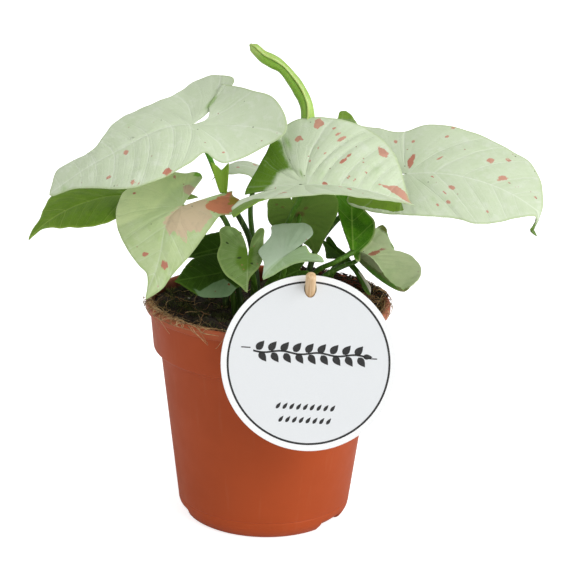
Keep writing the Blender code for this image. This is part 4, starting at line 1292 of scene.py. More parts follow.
def build_rolled_leaf(settings, shaders):
    """Make the new leaf, still a scroll, and its petiole.

    Its section is a spiral: the turn falls evenly over SCROLL_TURNS from the inner edge to
    the outer one, and the radius grows from SCROLL_INNER_SHARE of the roll's to all of it."""
    rows, columns = ROLLED_GRID
    path = smooth_curve(ROLLED_LINE, rows)
    run = np.linspace(0.0, 1.0, len(ROLLED_RADII))
    radii = np.interp(np.linspace(0.0, 1.0, rows), run, ROLLED_RADII)
    radii = np.convolve(np.pad(radii, 3, mode="edge"), np.ones(7) / 7, mode="valid")
    _, first, second = path_frames(path)
    share = np.linspace(0.0, 1.0, columns)
    rise = np.linspace(0.0, 1.0, rows)
    radii = radii * (1.0 - 0.8 * smooth_step(rise, 0.955, 1.0) ** 1.5)
    open_turn = settings.scroll_open + 0.85 * smooth_step(rise, 0.1, 0.55)
    turns = open_turn[:, None] + math.tau * SCROLL_TURNS * (1.0 - share)[None, :]
    swell = 1.0 + 0.012 * np.sin(rise[:, None] * 70.0 + turns * 1.5) + 0.03 * layered_noise(
        np.stack(np.broadcast_arrays(rise[:, None] * 20, turns, 0.0 * turns), axis=-1), 9, 2)
    grown = SCROLL_INNER_SHARE + (1.0 - SCROLL_INNER_SHARE) * share
    reach = radii[:, None] * grown[None, :] * swell
    middle = path[:, None] + reach[..., None] * (
        np.cos(turns)[..., None] * first[:, None] + np.sin(turns)[..., None] * second[:, None])
    points, faces = thick_sheet(middle, ROLLED_HALF_WALL)
    piece = add_piece("blade_rolled", points, faces, shaders["rolled"], ["leaf_rolled"])
    add_values(piece, "rise", np.tile(np.repeat(rise, columns), 2))
    add_values(piece, "share", np.tile(np.tile(share, rows), 2))
    line = petiole_line(ROLLED_FOOT, ROLLED_ROUTE, np.array(ROLLED_LINE[0], float), 70)
    build_petiole("rolled", line, shaders["new petiole"], "petiole_rolled")
    build_sheath(shaders["new petiole"])


def build_sheath(shader):
    """Make the open sheath beside the upper left leaf's petiole.

    Its grid runs up the petiole; the width opens as a sine of the way up, and the
    section is part of a circle that flattens as it opens."""
    rows, columns = 26, 17
    rise = np.linspace(0.0, 1.0, rows)[:, None]
    turn = np.linspace(-1.0, 1.0, columns)[None, :]
    low, high = np.array(SHEATH_FOOT), np.array(SHEATH_TIP)
    path = low + rise[..., None] * (high - low)
    width = SHEATH_WIDTH * (0.3 + 0.7 * rise ** 0.7)
    notch = 6.0 * (1.0 - np.abs(turn)) ** 1.1 * rise ** 3
    side = np.array((0.97, -0.15, 0.0))
    out = unit(np.cross(high - low, side))
    points = path + (width * turn)[..., None] * side + (width * (1.0 - turn ** 2) * 0.6)[..., None] * out
    points = points - notch[..., None] * unit(high - low)
    shape, faces = thick_sheet(points, 0.25)
    piece = add_piece("petiole_sheath", shape, faces, shader, [])
    add_values(piece, "rise", np.tile(np.broadcast_to(0.75 + 0.25 * rise, (rows, columns)).ravel(), 2))


def rounded_profile(corners, steps=5):
    """Return a profile whose corners are rounded.

    Each corner is (radius, height, round): from round before it to round after it
    the profile is a parabola with the corner as its handle."""
    marks = np.array(corners, float)
    places = marks[:, :2]
    share = np.linspace(0.0, 1.0, steps)[:, None]
    pieces = [places[:1]]
    for before, here, after, size in zip(places, places[1:], places[2:], marks[1:-1, 2]):
        start = here + size * unit(before - here)
        end = here + size * unit(after - here)
        if size == 0.0:
            pieces.append(here[None])
            continue
        pieces.append((1 - share) ** 2 * start + 2 * share * (1 - share) * here + share ** 2 * end)
    pieces.append(places[-1:])
    return np.vstack(pieces)


def pot_radius(z):
    """Return the pot body's outside radius at a height."""
    return float(np.interp(z, (FOOT_ROUND, STEP_Z), (BODY_FOOT_RADIUS, BODY_TOP_RADIUS)))


def pot_profile(rim, height):
    """Return the pot's profile, from the middle of its underside round to its floor."""
    lip = height - RIM_DEPTH
    inside = COLLAR_TOP_RADIUS - WALL
    seam = 9.0
    return rounded_profile((
        (0.6, 0.0, 0), (FOOT_DISC_RADIUS, 0.0, 0.5), (13.2, RECESS, 0.6),
        (DRAIN_RING - DRAIN_RADIUS, RECESS, 0.2), (DRAIN_RING - 1.8, RECESS, 0.2),
        (DRAIN_RING, RECESS, 0.2), (DRAIN_RING + 1.8, RECESS, 0.2),
        (DRAIN_RING + DRAIN_RADIUS, RECESS, 0.2), (33.3, RECESS, 0.6), (RING_INNER_RADIUS, 0.0, 0.4),
        (RING_RADIUS, 0.0, 1.6), (BODY_FOOT_RADIUS, FOOT_ROUND, 2.4),
        (pot_radius(seam - 0.5), seam - 0.5, 0.1), (pot_radius(seam) - 0.22, seam, 0.15),
        (pot_radius(seam + 0.5), seam + 0.5, 0.1), (pot_radius(45.0), 45.0, 0.5),
        (BODY_TOP_RADIUS, STEP_Z, 1.2), (COLLAR_RADIUS, COLLAR_Z, 1.0), (COLLAR_TOP_RADIUS, lip, 0.6),
        (rim, lip + 0.2, 0.9), (rim, height, 1.5), (rim - 2.6, height, 0.9), (inside, lip, 1.0),
        (COLLAR_RADIUS - WALL, COLLAR_Z + 0.5, 0.8), (BODY_TOP_RADIUS - WALL, STEP_Z - 0.5, 0.8),
        (BODY_FOOT_RADIUS - WALL, FLOOR_Z, 2.5), (0.6, FLOOR_Z, 0),
    ))


def build_pot(settings, shaders):
    """Make the pot: its profile turned about Z, with notches in the foot and drain holes.

    A notch lifts the foot where the arc distance from its middle is small, less under
    the floor than out at the wall; a drain hole lifts the underside inside its circle
    nearly to the floor."""
    profile = pot_profile(settings.rim_radius / MM, settings.height / MM)
    sides = settings.sides
    turns = ring_turns(sides)
    radius = profile[:, :1] + 0.0 * turns
    z = profile[:, 1:] + 0.0 * turns
    outer_half = np.arange(len(profile))[:, None] < len(profile) // 2
    for notch in NOTCH_TURNS:
        away = np.abs((turns - math.radians(notch) + math.pi) % math.tau - math.pi) * RING_RADIUS
        wall = smooth_step(profile[:, :1], RING_RADIUS + 1.0, BODY_FOOT_RADIUS)
        top = NOTCH_INNER_HEIGHT + (NOTCH_HEIGHT - NOTCH_INNER_HEIGHT) * wall
        arch = top * (1.0 - smooth_step(away, 0.75 * NOTCH_WIDTH / 2, NOTCH_WIDTH / 2))
        low = outer_half & (profile[:, :1] > RING_INNER_RADIUS - 1.0) & (z < arch)
        z = np.where(low, np.broadcast_to(arch, z.shape), z)
    x, y = polar(radius, turns)
    hole = np.zeros_like(z)
    for i in range(DRAIN_COUNT):
        turn = math.tau * (i + 0.5) / DRAIN_COUNT
        away = np.hypot(x - DRAIN_RING * math.cos(turn), y - DRAIN_RING * math.sin(turn))
        inside = (away < DRAIN_RADIUS) & outer_half & (z < FLOOR_Z)
        z = np.where(inside, FLOOR_Z - 0.25, z)
        hole = np.where(inside, 1.0, hole)
    rings = np.stack([x, y, z], axis=-1).reshape(-1, 3)
    points = np.vstack([rings, [(0.0, 0.0, 0.0), (0.0, 0.0, FLOOR_Z)]])
    faces = turned_faces(len(profile), sides)
    piece = add_piece("pot_moulding", points, faces, shaders["pot"], ["pot"], sharp=50)
    add_values(piece, "hole", np.concatenate([hole.ravel(), [0.0, 0.0]]))
    top = settings.height / MM
    past_rim = np.arange(len(profile)) > np.flatnonzero(profile[:, 1] > top - 0.01)[-1]
    inside = np.repeat(past_rim * smooth_step(top - profile[:, 1], 0.2, 1.6), sides)
    add_values(piece, "inside", np.concatenate([inside, [0.0, 1.0]]))


def peat_surface(x, y):
    """Return the height of the peat's rough surface: its slow waves, finer noise and banks.

    Two banks rise against the wall; each is smooth steps of the radius and of the turn
    from the bank's middle."""
    places = np.stack([np.asarray(x) / 7.0, np.asarray(y) / 7.0, np.zeros(np.shape(x))], axis=-1)
    turn = np.degrees(np.arctan2(y, x))
    bank = 0.0
    for middle, reach in PEAT_BANKS:
        away = np.abs((turn - middle + 180.0) % 360.0 - 180.0)
        bank = bank + 1.0 - smooth_step(away, reach - 25.0, reach)
    bank = bank * PEAT_BANK_HEIGHT * smooth_step(np.hypot(x, y), 43.0, 54.0)
    return soil_height(x, y) + 1.3 * layered_noise(places, 21, 4) + bank


def build_peat(shaders):
    """Make the peat: a turned solid under a rough round field."""
    sides, rings = 160, 56
    turns = ring_turns(sides)
    brim = COLLAR_TOP_RADIUS - WALL - PEAT_GAP - 0.4
    walls = np.array((
        (38.5, FLOOR_Z + PEAT_GAP), (40.6, FLOOR_Z + 2.2), (BODY_TOP_RADIUS - WALL - PEAT_GAP, STEP_Z - 1.0),
        (COLLAR_RADIUS - WALL - PEAT_GAP, COLLAR_Z + 1.0), (brim, SOIL_Z - 3.5),
    ))
    side_rings = np.stack([*polar(walls[:, :1], turns), walls[:, 1:] + 0.0 * turns], axis=-1)
    radius = brim * (1.0 - np.arange(rings)[:, None] / rings)
    x, y = polar(radius, turns)
    z = peat_surface(x, y)
    field = np.stack([x, y, z], axis=-1)
    points = np.vstack([side_rings.reshape(-1, 3), field.reshape(-1, 3)])
    middle_top = (0.0, 0.0, float(peat_surface(0.0, 0.0)))
    points = np.vstack([points, [(0.0, 0.0, FLOOR_Z + PEAT_GAP), middle_top]])
    faces = turned_faces(len(walls) + rings, sides)
    add_piece("peat_bed", points, faces, shaders["peat"], ["soil"])


def on_peat(random, count, reach):
    """Return random places on the peat, spread evenly over a disc."""
    radius = reach * np.sqrt(random.random(count))
    turn = math.tau * random.random(count)
    x, y = polar(radius, turn)
    return np.stack([x, y, peat_surface(x, y)], axis=-1)


def lumps(random, centres, sizes, flatness=0.75):
    """Return a knobbly twenty-sided lump at each centre, as one mesh.

    Each is an icosahedron whose corners are pushed in or out at random."""
    golden = (1 + math.sqrt(5)) / 2
    corners = []
    for a in (-1, 1):
        for b in (-golden, golden):
            corners += [(0, a, b), (a, b, 0), (b, 0, a)]
    corners = unit(np.array(corners, float))
    gaps = np.linalg.norm(corners[:, None] - corners[None], axis=-1)
    near = gaps < 1.1
    triangles = [
        (i, j, k) for i in range(12) for j in range(i + 1, 12) for k in range(j + 1, 12)
        if near[i, j] and near[j, k] and near[i, k]
    ]
    triangles = np.array(triangles)
    first, second, third = (corners[triangles[:, k]] for k in range(3))
    faced = np.cross(second - first, third - first)
    wrong = np.einsum("ij,ij->i", faced, first) < 0
    triangles[wrong] = triangles[wrong][:, ::-1]
    reach = 1.0 + 0.35 * (random.random((len(centres), 12, 1)) - 0.5)
    stretch = 1.0 + 0.7 * (random.random((len(centres), 1, 3)) - 0.5)
    stretch[..., 2] *= flatness
    points = centres[:, None] + sizes[:, None, None] * reach * stretch * corners[None]
    faces = (triangles[None] + 12 * np.arange(len(centres))[:, None, None]).reshape(-1, 3)
    return points.reshape(-1, 3), [faces]


def build_crumbs(settings, shaders):
    """Scatter peat crumbs and a few white grit specks over the peat, and crumbs on the rim."""
    random = np.random.default_rng(3)
    centres = on_peat(random, settings.crumbs, CRUMB_REACH)
    first_turn, last_turn, on_rim = RIM_CRUMBS
    turn = np.radians(first_turn + (last_turn - first_turn) * random.random(on_rim))
    radius = 54.5 + 5.0 * random.random(on_rim) ** 1.5
    x, y = polar(radius, turn)
    centres = np.vstack([centres, np.stack([x, y, litter_height(radius, x, y)], axis=-1)])
    sizes = 0.35 + 1.0 * random.random(len(centres)) ** 2
    sizes[settings.crumbs:] = 0.3 + 0.6 * random.random(on_rim)
    points, faces = lumps(random, centres, sizes)
    piece = add_piece("peat_crumbs", points, faces, shaders["litter"], [])
    shade = 0.22 * random.random(len(centres))
    shade[settings.crumbs:] += 0.1
    add_values(piece, "shade", np.repeat(shade, 12))
    centres = on_peat(random, GRIT_COUNT, CRUMB_REACH) + (0.0, 0.0, 0.4)
    points, faces = lumps(random, centres, 0.25 + 0.4 * random.random(len(centres)))
    add_piece("white_grit", points, faces, shaders["grit"], [])


def build_moss(settings, shaders):
    """Set moss on the peat: many thin three-sided shoots in tufts.

    A shoot starts near its tuft's middle, leans away from it and bends upward."""
    random = np.random.default_rng(11)
    tufts = on_peat(random, settings.tufts, MOSS_REACH)
    sizes = 1.5 + 3.0 * random.random(len(tufts))
    owner = np.repeat(np.arange(len(tufts)), SHOOTS_PER_TUFT)
    turn = math.tau * random.random(len(owner))
    away = np.sqrt(random.random(len(owner))) * sizes[owner]
    offset = np.stack(polar(away, turn), axis=-1)
    ground = tufts[owner, :2] + offset
    inside = np.hypot(ground[:, 0], ground[:, 1]) < MOSS_LIMIT
    ground, owner, turn, away = ground[inside], owner[inside], turn[inside], away[inside]
    height = (0.9 + 2.3 * random.random(len(owner))) * (1.15 - 0.5 * away / sizes[owner])
    lean = 0.9 * away / sizes[owner] + 0.5 * random.random(len(owner))
    steps = np.linspace(0.0, 1.0, 4)
    heading = turn + 1.2 * (random.random(len(owner)) - 0.5)
    reach = (lean * height)[:, None] * steps ** 1.5
    x = ground[:, :1] + reach * np.cos(heading)[:, None]
    y = ground[:, 1:] + reach * np.sin(heading)[:, None]
    squeeze = np.minimum(1.0, 55.6 / np.maximum(np.hypot(x, y), 1e-6))
    x, y = x * squeeze, y * squeeze
    z = peat_surface(ground[:, 0], ground[:, 1])[:, None] - 0.3 + height[:, None] * steps
    radii = np.array((0.26, 0.3, 0.2, 0.04)) * (0.7 + 0.6 * random.random((len(owner), 1)))
    points, faces = many_tubes(np.stack([x, y, z], axis=-1), radii, 3)
    piece = add_piece("moss", points, faces, shaders["litter"], [])
    tuft_shade = 0.42 + 0.2 * random.random(len(tufts))
    shade = np.clip(tuft_shade[owner] + 0.16 * (random.random(len(owner)) - 0.4), 0.36, 0.69)
    add_values(piece, "shade", np.repeat(shade, 12))


def litter_height(radius, x, y):
    """Return the height of what a fibre can lie on: the peat, or the wall and the rim."""
    reach = (0.0, 50.0, 54.0, 56.2, 57.6, 60.0, 61.0, 61.8, 70.0)
    rise = (-9.0, -5.0, 1.0, 6.6, 7.9, 7.9, 6.9, 4.2, -14.0)
    return np.maximum(peat_surface(x, y) + 0.3, SOIL_Z + np.interp(radius, reach, rise))


def build_fibres(settings, shaders):
    """Lay root fibres and straw on the peat, thickest by the rim at the left and right.

    A fibre is a path in turn and radius that wanders by noise and lies on the peat,
    the wall or the rim under it; some reach over the rim."""
    random = np.random.default_rng(29)
    steps = np.linspace(0.0, 1.0, 11)
    lines, shades, radii = [], [], []
    for share, first_turn, last_turn, low, high in FIBRE_GROUPS:
        count = int(share * settings.fibres)
        turn = np.radians(first_turn + (last_turn - first_turn) * random.random(count))
        radius = low + (high - low) * np.sqrt(random.random(count))
        length = 6.0 + 16.0 * random.random(count)
        lean = math.pi * (random.random(count) - 0.5) * 1.1
        lean = np.where(random.random(count) < 0.5, lean + math.pi, lean)
        curl = 1.6 * (random.random(count) - 0.5)
        way = lean[:, None] + curl[:, None] * steps
        step = length[:, None] / (len(steps) - 1)
        over = np.cumsum(np.cos(way) * step, axis=1)
        out = np.cumsum(np.sin(way) * step, axis=1) * 0.55
        here = np.clip(radius[:, None] + out, 2.0, 61.3)
        angle = turn[:, None] + over / np.maximum(here, 10.0)
        x, y = polar(here, angle)
        wander = layered_noise(np.stack([x / 5.0, y / 5.0, steps + 0.0 * x], axis=-1), 40, 2)
        low_lying = 1.0 - 0.8 * smooth_step(here, 51.0, 56.0)
        lift = (0.9 * random.random((count, 1)) + 1.1 * np.abs(wander)) * low_lying + 0.2
        lines.append(np.stack([x, y, litter_height(here, x, y) + lift], axis=-1))
        shades.append(0.75 + 0.25 * random.random(count))
        radii.append((0.1 + 0.17 * random.random(count) ** 2)[:, None] * (1.0 - 0.6 * steps ** 2))
    turn = np.radians(200.0 + 62.0 * random.random((HANGING_FIBRES, 1)))
    reach = np.interp(steps, (0.0, 0.35, 0.5, 1.0), (56.5, 61.0, 61.9, 61.4))[None, :] + 0.0 * turn
    drop = (0.2 + 2.4 * random.random((HANGING_FIBRES, 1))) * smooth_step(steps, 0.45, 1.0)
    angle = turn + 0.28 * (random.random((HANGING_FIBRES, 1)) - 0.5) * steps * 2.0
    rise = np.interp(steps, (0.0, 0.35, 0.5, 1.0), (5.0, 8.2, 6.4, 2.5))[None, :] - drop
    lines.append(np.stack([*polar(reach, angle), SOIL_Z + rise], axis=-1))
    shades.append(0.85 + 0.15 * random.random(HANGING_FIBRES))
    radii.append(0.16 * (1.0 - 0.5 * steps[None, :]) + 0.0 * turn)
    points, faces = many_tubes(np.concatenate(lines), np.concatenate(radii), 4)
    piece = add_piece("root_fibres", points, faces, shaders["litter"], [])
    add_values(piece, "shade", np.repeat(np.concatenate(shades), 4 * len(steps)))


def card_axes(lean):
    """Return the leaning card's unit vectors: level, up along its face and out of its face."""
    level = np.array((1.0, 0.0, 0.0))
    up = np.array((0.0, math.sin(lean), math.cos(lean)))
    return level, up, np.array((0.0, -math.cos(lean), math.sin(lean)))


def label_axes(lean):
    """Return the card's axes with the print's small turn: across, up and out of its face."""
    turn = math.radians(LABEL_TURN)
    level, up, out = card_axes(lean)
    across = math.cos(turn) * level + math.sin(turn) * up
    return across, math.cos(turn) * up - math.sin(turn) * level, out


def stick_line(settings):
    """Return the stick's two ends: in the peat, and in front of the label."""
    _, up, _ = card_axes(settings.lean)
    hole = np.array(LABEL_CENTRE) + (settings.radius / MM - HOLE_DROP) * up
    slant = math.radians(STICK_SLANT)
    axis = np.array((0.0, -math.sin(slant), math.cos(slant)))
    top = hole + STICK_OUT * axis
    return top - STICK_LENGTH * axis, top


def build_card(settings, shaders):
    """Make the round card with its punched hole.

    Each ray from the hole's middle meets the hole's edge and the card's edge; the
    section between them is carried round, its corners rounded by edge_round."""
    level, up, out = card_axes(settings.lean)
    radius, half, edge_round = settings.radius / MM, settings.thickness / MM / 2, 0.16
    rise = radius - HOLE_DROP
    turns = ring_turns(220)
    toward = rise * np.sin(turns)
    far = -toward + np.sqrt(toward ** 2 + radius ** 2 - rise ** 2)
    slant = math.radians(90.0 - STICK_SLANT) - settings.lean
    tall = (STICK_RADIUS + HOLE_GAP) / abs(math.cos(math.pi / 2 - slant)) if slant else STICK_RADIUS
    tall = min(max(tall, STICK_RADIUS + HOLE_GAP), 2.0 * STICK_RADIUS)
    wide = STICK_RADIUS + HOLE_GAP
    near = wide * tall / np.hypot(tall * np.cos(turns), wide * np.sin(turns))
    shares = np.linspace(0.0, 1.0, 12)
    inner, outer = near + edge_round, far - edge_round
    face = inner + shares[:, None] * (outer - inner)
    reach = np.vstack([near, near, face, far, far, face[::-1]])
    depth = np.concatenate([
        [-half + edge_round, half - edge_round], np.full(12, half), [half - edge_round, -half + edge_round],
        np.full(12, -half),
    ])
    centre = np.array(LABEL_CENTRE) + rise * up
    points = centre + (reach * np.cos(turns))[..., None] * level + (reach * np.sin(turns))[..., None] * up
    points = points + depth[:, None, None] * out
    faces = grid_faces(len(reach), len(turns), closed_columns=True, closed_rows=True)
    add_piece("label_card", points.reshape(-1, 3), [faces], shaders["card"], ["label"], sharp=40)


def raised_plate(outline, settings, height=0.05):
    """Return a flat printed shape on the label's face as a thin closed plate.

    outline is its corners in millimetres across and up from the label's middle."""
    across, up, out = label_axes(settings.lean)
    outline = np.asarray(outline, float)
    level = np.array(LABEL_CENTRE) + (settings.thickness / MM / 2 + 0.01) * out
    low = level + outline[:, :1] * across + outline[:, 1:] * up
    points = np.vstack([low, low + height * out])
    count = len(outline)
    ring = np.arange(count)
    return points, [ring[::-1][None], (ring + count)[None], rim_faces(ring, count)]


def leaf_outline(x, y, length, width, turn):
    """Return a small pointed leaf's outline: its half width is a sine of a power of the way along."""
    share = np.linspace(0.0, 1.0, 9)
    half = width / 2 * np.sin(math.pi * share ** 0.7)
    along = np.concatenate([share, share[-2:0:-1]]) * length
    across = np.concatenate([half, -half[-2:0:-1]])
    c, s = math.cos(math.radians(turn)), math.sin(math.radians(turn))
    return np.stack([x + c * along - s * across, y + s * along + c * across], axis=-1)[::-1]


def bar_outline(x, y, length, width):
    """Return a bar's outline from its left end's middle."""
    half = width / 2
    return np.array([(x, y - half), (x + length, y - half), (x + length, y + half), (x, y + half)])


def printed_shapes():
    """Return the outlines of the label's ornament: a leafy sprig between two dashes, and
    two rows of small leaves."""
    shapes = [bar_outline(-31.0, 5.6, 4.2, 0.5), bar_outline(26.6, 3.6, 4.4, 0.5)]
    middle, reach, pairs = 4.3, 25.5, 9
    stem = np.linspace(-reach, reach, 41)
    bend = middle + 0.55 * np.sin(stem * 0.37)
    for i in range(0, len(stem) - 1, 5):
        part = np.stack([stem[i:i + 6], bend[i:i + 6]], axis=-1)
        shapes.append(np.concatenate([part - (0.0, 0.42), (part + (0.0, 0.42))[::-1]]))
    for i in range(pairs):
        x = -reach + 1.5 + i * (2 * reach - 6.0) / (pairs - 1)
        shapes.append(leaf_outline(x, middle + 0.5, 5.4, 3.3, 52))
        shapes.append(leaf_outline(x + 1.4, middle - 0.5, 5.4, 3.3, -52))
    shapes.append(leaf_outline(reach - 1.0, middle, 4.4, 2.4, 0))
    for y, count in ((-20.0, 9), (-26.0, 8)):
        for i in range(count):
            x = (i - (count - 1) / 2) * 3.1
            shapes.append(leaf_outline(x - 1.2, y - 1.4, 3.6, 1.5, 55))
    return shapes


def build_print(settings, shaders):
    """Print the card: a thin ring, and the ornament, each a thin plate on its face."""
    points, faces, start = [], [], 0
    for outline in printed_shapes():
        shape, parts = raised_plate(outline, settings)
        points.append(shape)
        faces += [part + start for part in parts]
        start += len(shape)
    across, up, out = label_axes(settings.lean)
    turns = ring_turns(180)
    line = settings.radius / MM - settings.ring_inset / MM
    section = ((line - 0.45, 0.01), (line + 0.45, 0.01), (line + 0.45, 0.06), (line - 0.45, 0.06))
    level = np.array(LABEL_CENTRE) + settings.thickness / MM / 2 * out
    flat = np.cos(turns)[:, None] * across + np.sin(turns)[:, None] * up
    ring = np.stack([level + reach * flat + rise * out for reach, rise in section])
    points.append(ring.reshape(-1, 3))
    faces.append(grid_faces(4, len(turns), closed_columns=True, closed_rows=True, start=start)[:, ::-1])
    add_piece("label_print", np.vstack(points), faces, shaders["ink"], [], sharp=30)


def build_stick(settings, shaders):
    """Make the wooden stick: a tube whose end is rounded as a quarter circle."""
    low, high = stick_line(settings)
    turns = np.linspace(0.0, math.pi / 2, 7)
    round_size = 1.5
    heading = unit(high - low)
    length = np.linalg.norm(high - low)
    body = np.linspace(0.0, length - round_size, 30)
    reach = np.concatenate([body, length - round_size + round_size * np.sin(turns[1:])])
    radii = np.concatenate([np.full(30, STICK_RADIUS), STICK_RADIUS - round_size * (1.0 - np.cos(turns[1:]))])
    line = low + reach[:, None] * heading
    points, faces = tube_mesh(line, radii, 40)
    add_piece("label_peg", points, faces, shaders["wood"], ["label_stick"], sharp=60)


class Shader:
    """One node tree, with short calls that add its nodes and links.

    A value is a number, a colour, a colour's #RRGGBB code or another node's output."""

    def __init__(self, tree):
        self.tree = tree

    def put(self, socket, value):
        """Set a socket, or link another node's output to it."""
        if isinstance(value, bpy.types.NodeSocket):
            self.tree.links.new(value, socket)
            return
        if isinstance(value, str):
            value = linear(value)
        if socket.type == "RGBA":
            value = (*value[:3], 1.0)
        socket.default_value = value

    def add(self, kind, values=None, **settings):
        """Add a node and return its outputs; values maps its sockets to what goes into them."""
        node = self.tree.nodes.new("ShaderNode" + kind)
        for key, value in settings.items():
            setattr(node, key, value)
        for key, value in (values or {}).items():
            self.put(node.inputs[key], value)
        return node.outputs

    def maths(self, operation, *values):
        """Return a Math node's output."""
        return self.add("Math", dict(enumerate(values)), operation=operation)[0]

    def times(self, *values):
        """Return the product of two values."""
        return self.maths("MULTIPLY", *values)

    def plus(self, *values):
        """Return the sum of two values."""
        return self.maths("ADD", *values)

    def less(self, *values):
        """Return the first value less the second."""
        return self.maths("SUBTRACT", *values)

    def blend(self, share, first, second, kind="MIX"):
        """Return the mix of two colours."""
        return self.add("Mix", {0: share, 6: first, 7: second}, data_type="RGBA", blend_type=kind)[2]

    def layered(self, colour, *layers):
        """Return a colour with others laid over it in turn, each as (share, strength, colour)."""
        for share, strength, other in layers:
            colour = self.blend(self.times(share, strength), colour, other)
        return colour

    def step(self, value, low, high, start=0.0, end=1.0):
        """Return a smooth step of a value from one number to another."""
        values = {"Value": value, 1: low, 2: high, 3: start, 4: end}
        return self.add("MapRange", values, interpolation_type="SMOOTHSTEP")[0]

    def noise(self, place, scale, detail=3.0, roughness=0.55, distortion=0.0):
        """Return a noise texture's value."""
        values = {"Vector": place, "Scale": scale, "Detail": detail}
        return self.add("TexNoise", {**values, "Roughness": roughness, "Distortion": distortion})[0]

    def grain(self, place, scale, detail=3.0, roughness=0.55):
        """Return noise with a scale of its own in each direction."""
        return self.noise(self.add("Mapping", {"Vector": place, "Scale": scale})[0], 1.0, detail, roughness)

    def place(self):
        """Return the point's place on its object."""
        return self.add("TexCoord")["Object"]

    def map(self, name):
        """Return the point's place on one of the piece's flat maps."""
        return self.add("UVMap", uv_map=name)[0]

    def paint(self, name):
        """Return the outputs of one of the piece's colours."""
        return self.add("Attribute", attribute_name=name)

    def value(self, name):
        """Return one of the piece's numbers."""
        return self.paint(name)["Fac"]


class Material(Shader):
    """A material's node tree, round its Principled shader."""

    def __init__(self, name, roughness, **constants):
        self.made = bpy.data.materials.new(name)
        self.made.use_nodes = True
        super().__init__(self.made.node_tree)
        self.sockets = self.tree.nodes["Principled BSDF"].inputs
        for key, value in {"Roughness": roughness, **constants}.items():
            self.sockets[key.replace("_", " ")].default_value = value

    def finish(self, colour, height=None, strength=1.0, depth=1.0):
        """Link the colour, and a height of a depth in millimetres, and return the material."""
        self.put(self.sockets["Base Color"], colour)
        if height:
            values = {"Height": height, "Strength": strength, "Distance": depth * MM}
            self.put(self.sockets["Normal"], self.add("Bump", values)[0])
        return self.made


def new_group(name, inputs, outputs):
    """Return an empty shader node group's Shader, what it is given and what it gives."""
    tree = bpy.data.node_groups.new(name, "ShaderNodeTree")
    for label, default in inputs.items():
        socket = tree.interface.new_socket(name=label, in_out="INPUT", socket_type="NodeSocketFloat")
        socket.default_value = default
    for label in outputs:
        tree.interface.new_socket(name=label, in_out="OUTPUT", socket_type="NodeSocketFloat")
    return Shader(tree), tree.nodes.new("NodeGroupInput").outputs, tree.nodes.new("NodeGroupOutput").inputs


def vein_group():
    """Build the group that draws side veins, finer veins between them and their net."""
    group, given, result = new_group("leaf veins", {"Width": 0.05, "Net": 12.0}, ("Side", "Fine", "Net"))
    place = group.map("veins")
    wobble = group.times(group.less(group.noise(place, 1.3, 2.0), 0.5), 0.16)
    run = group.plus(group.add("SeparateXYZ", {0: place})[0], wobble)
    to_fine = group.maths("PINGPONG", group.times(group.plus(run, 0.14), 3.0), 0.5)
    net = group.add("TexVoronoi", {"Vector": place, "Scale": given["Net"]}, feature="DISTANCE_TO_EDGE")
    lines = (
        ("Side", group.maths("PINGPONG", run, 0.5), given["Width"]), ("Fine", to_fine, 0.16),
        ("Net", net["Distance"], 0.12),
    )
    for name, distance, width in lines:
        group.put(result[name], group.less(1.0, group.step(distance, 0.0, width)))
    return group.tree


def torn_edge_group():
    """Build the group that turns a mark's depth into a patch torn along the veins."""
    group, given, result = new_group("torn edge", {"Depth": 0.0, "Tear": 0.9, "Soft": 0.1}, ("Patch",))
    place = group.map("veins")
    streaks = group.grain(place, (7.0, 3.0, 1.0), 4.0, 0.65)
    ragged = group.noise(place, 5.5, 3.0, 0.6)
    shift = group.less(group.plus(streaks, group.times(ragged, 0.6)), 0.8)
    moved = group.plus(given["Depth"], group.times(shift, given["Tear"]))
    group.put(result["Patch"], group.step(moved, group.times(given["Soft"], -1.0), given["Soft"]))
    return group.tree


def speck_group():
    """Build the group that scatters small specks, two kinds of them, over a blade."""
    inputs = {"Cell": 40.0, "Size": 0.16, "Share": 0.5}
    group, given, result = new_group("leaf specks", inputs, ("Warm", "Dark"))
    place = group.map("blade")
    cells = group.add("TexVoronoi", {"Vector": place, "Scale": given["Cell"], "Randomness": 1.0})
    pick = group.add("SeparateColor", {0: cells["Color"]})
    reach = group.times(given["Size"], group.plus(group.times(pick[2], 0.9), 0.35))
    ragged = group.times(group.less(group.noise(place, 160.0, 2.0), 0.5), 0.12)
    distance = group.plus(cells["Distance"], ragged)
    dot = group.less(1.0, group.step(distance, group.times(reach, 0.7), reach))
    bar = group.less(1.0, group.times(given["Share"], 0.22))
    for name, kind in (("Warm", pick[0]), ("Dark", pick[1])):
        group.put(result[name], group.times(dot, group.maths("GREATER_THAN", kind, bar)))
    return group.tree


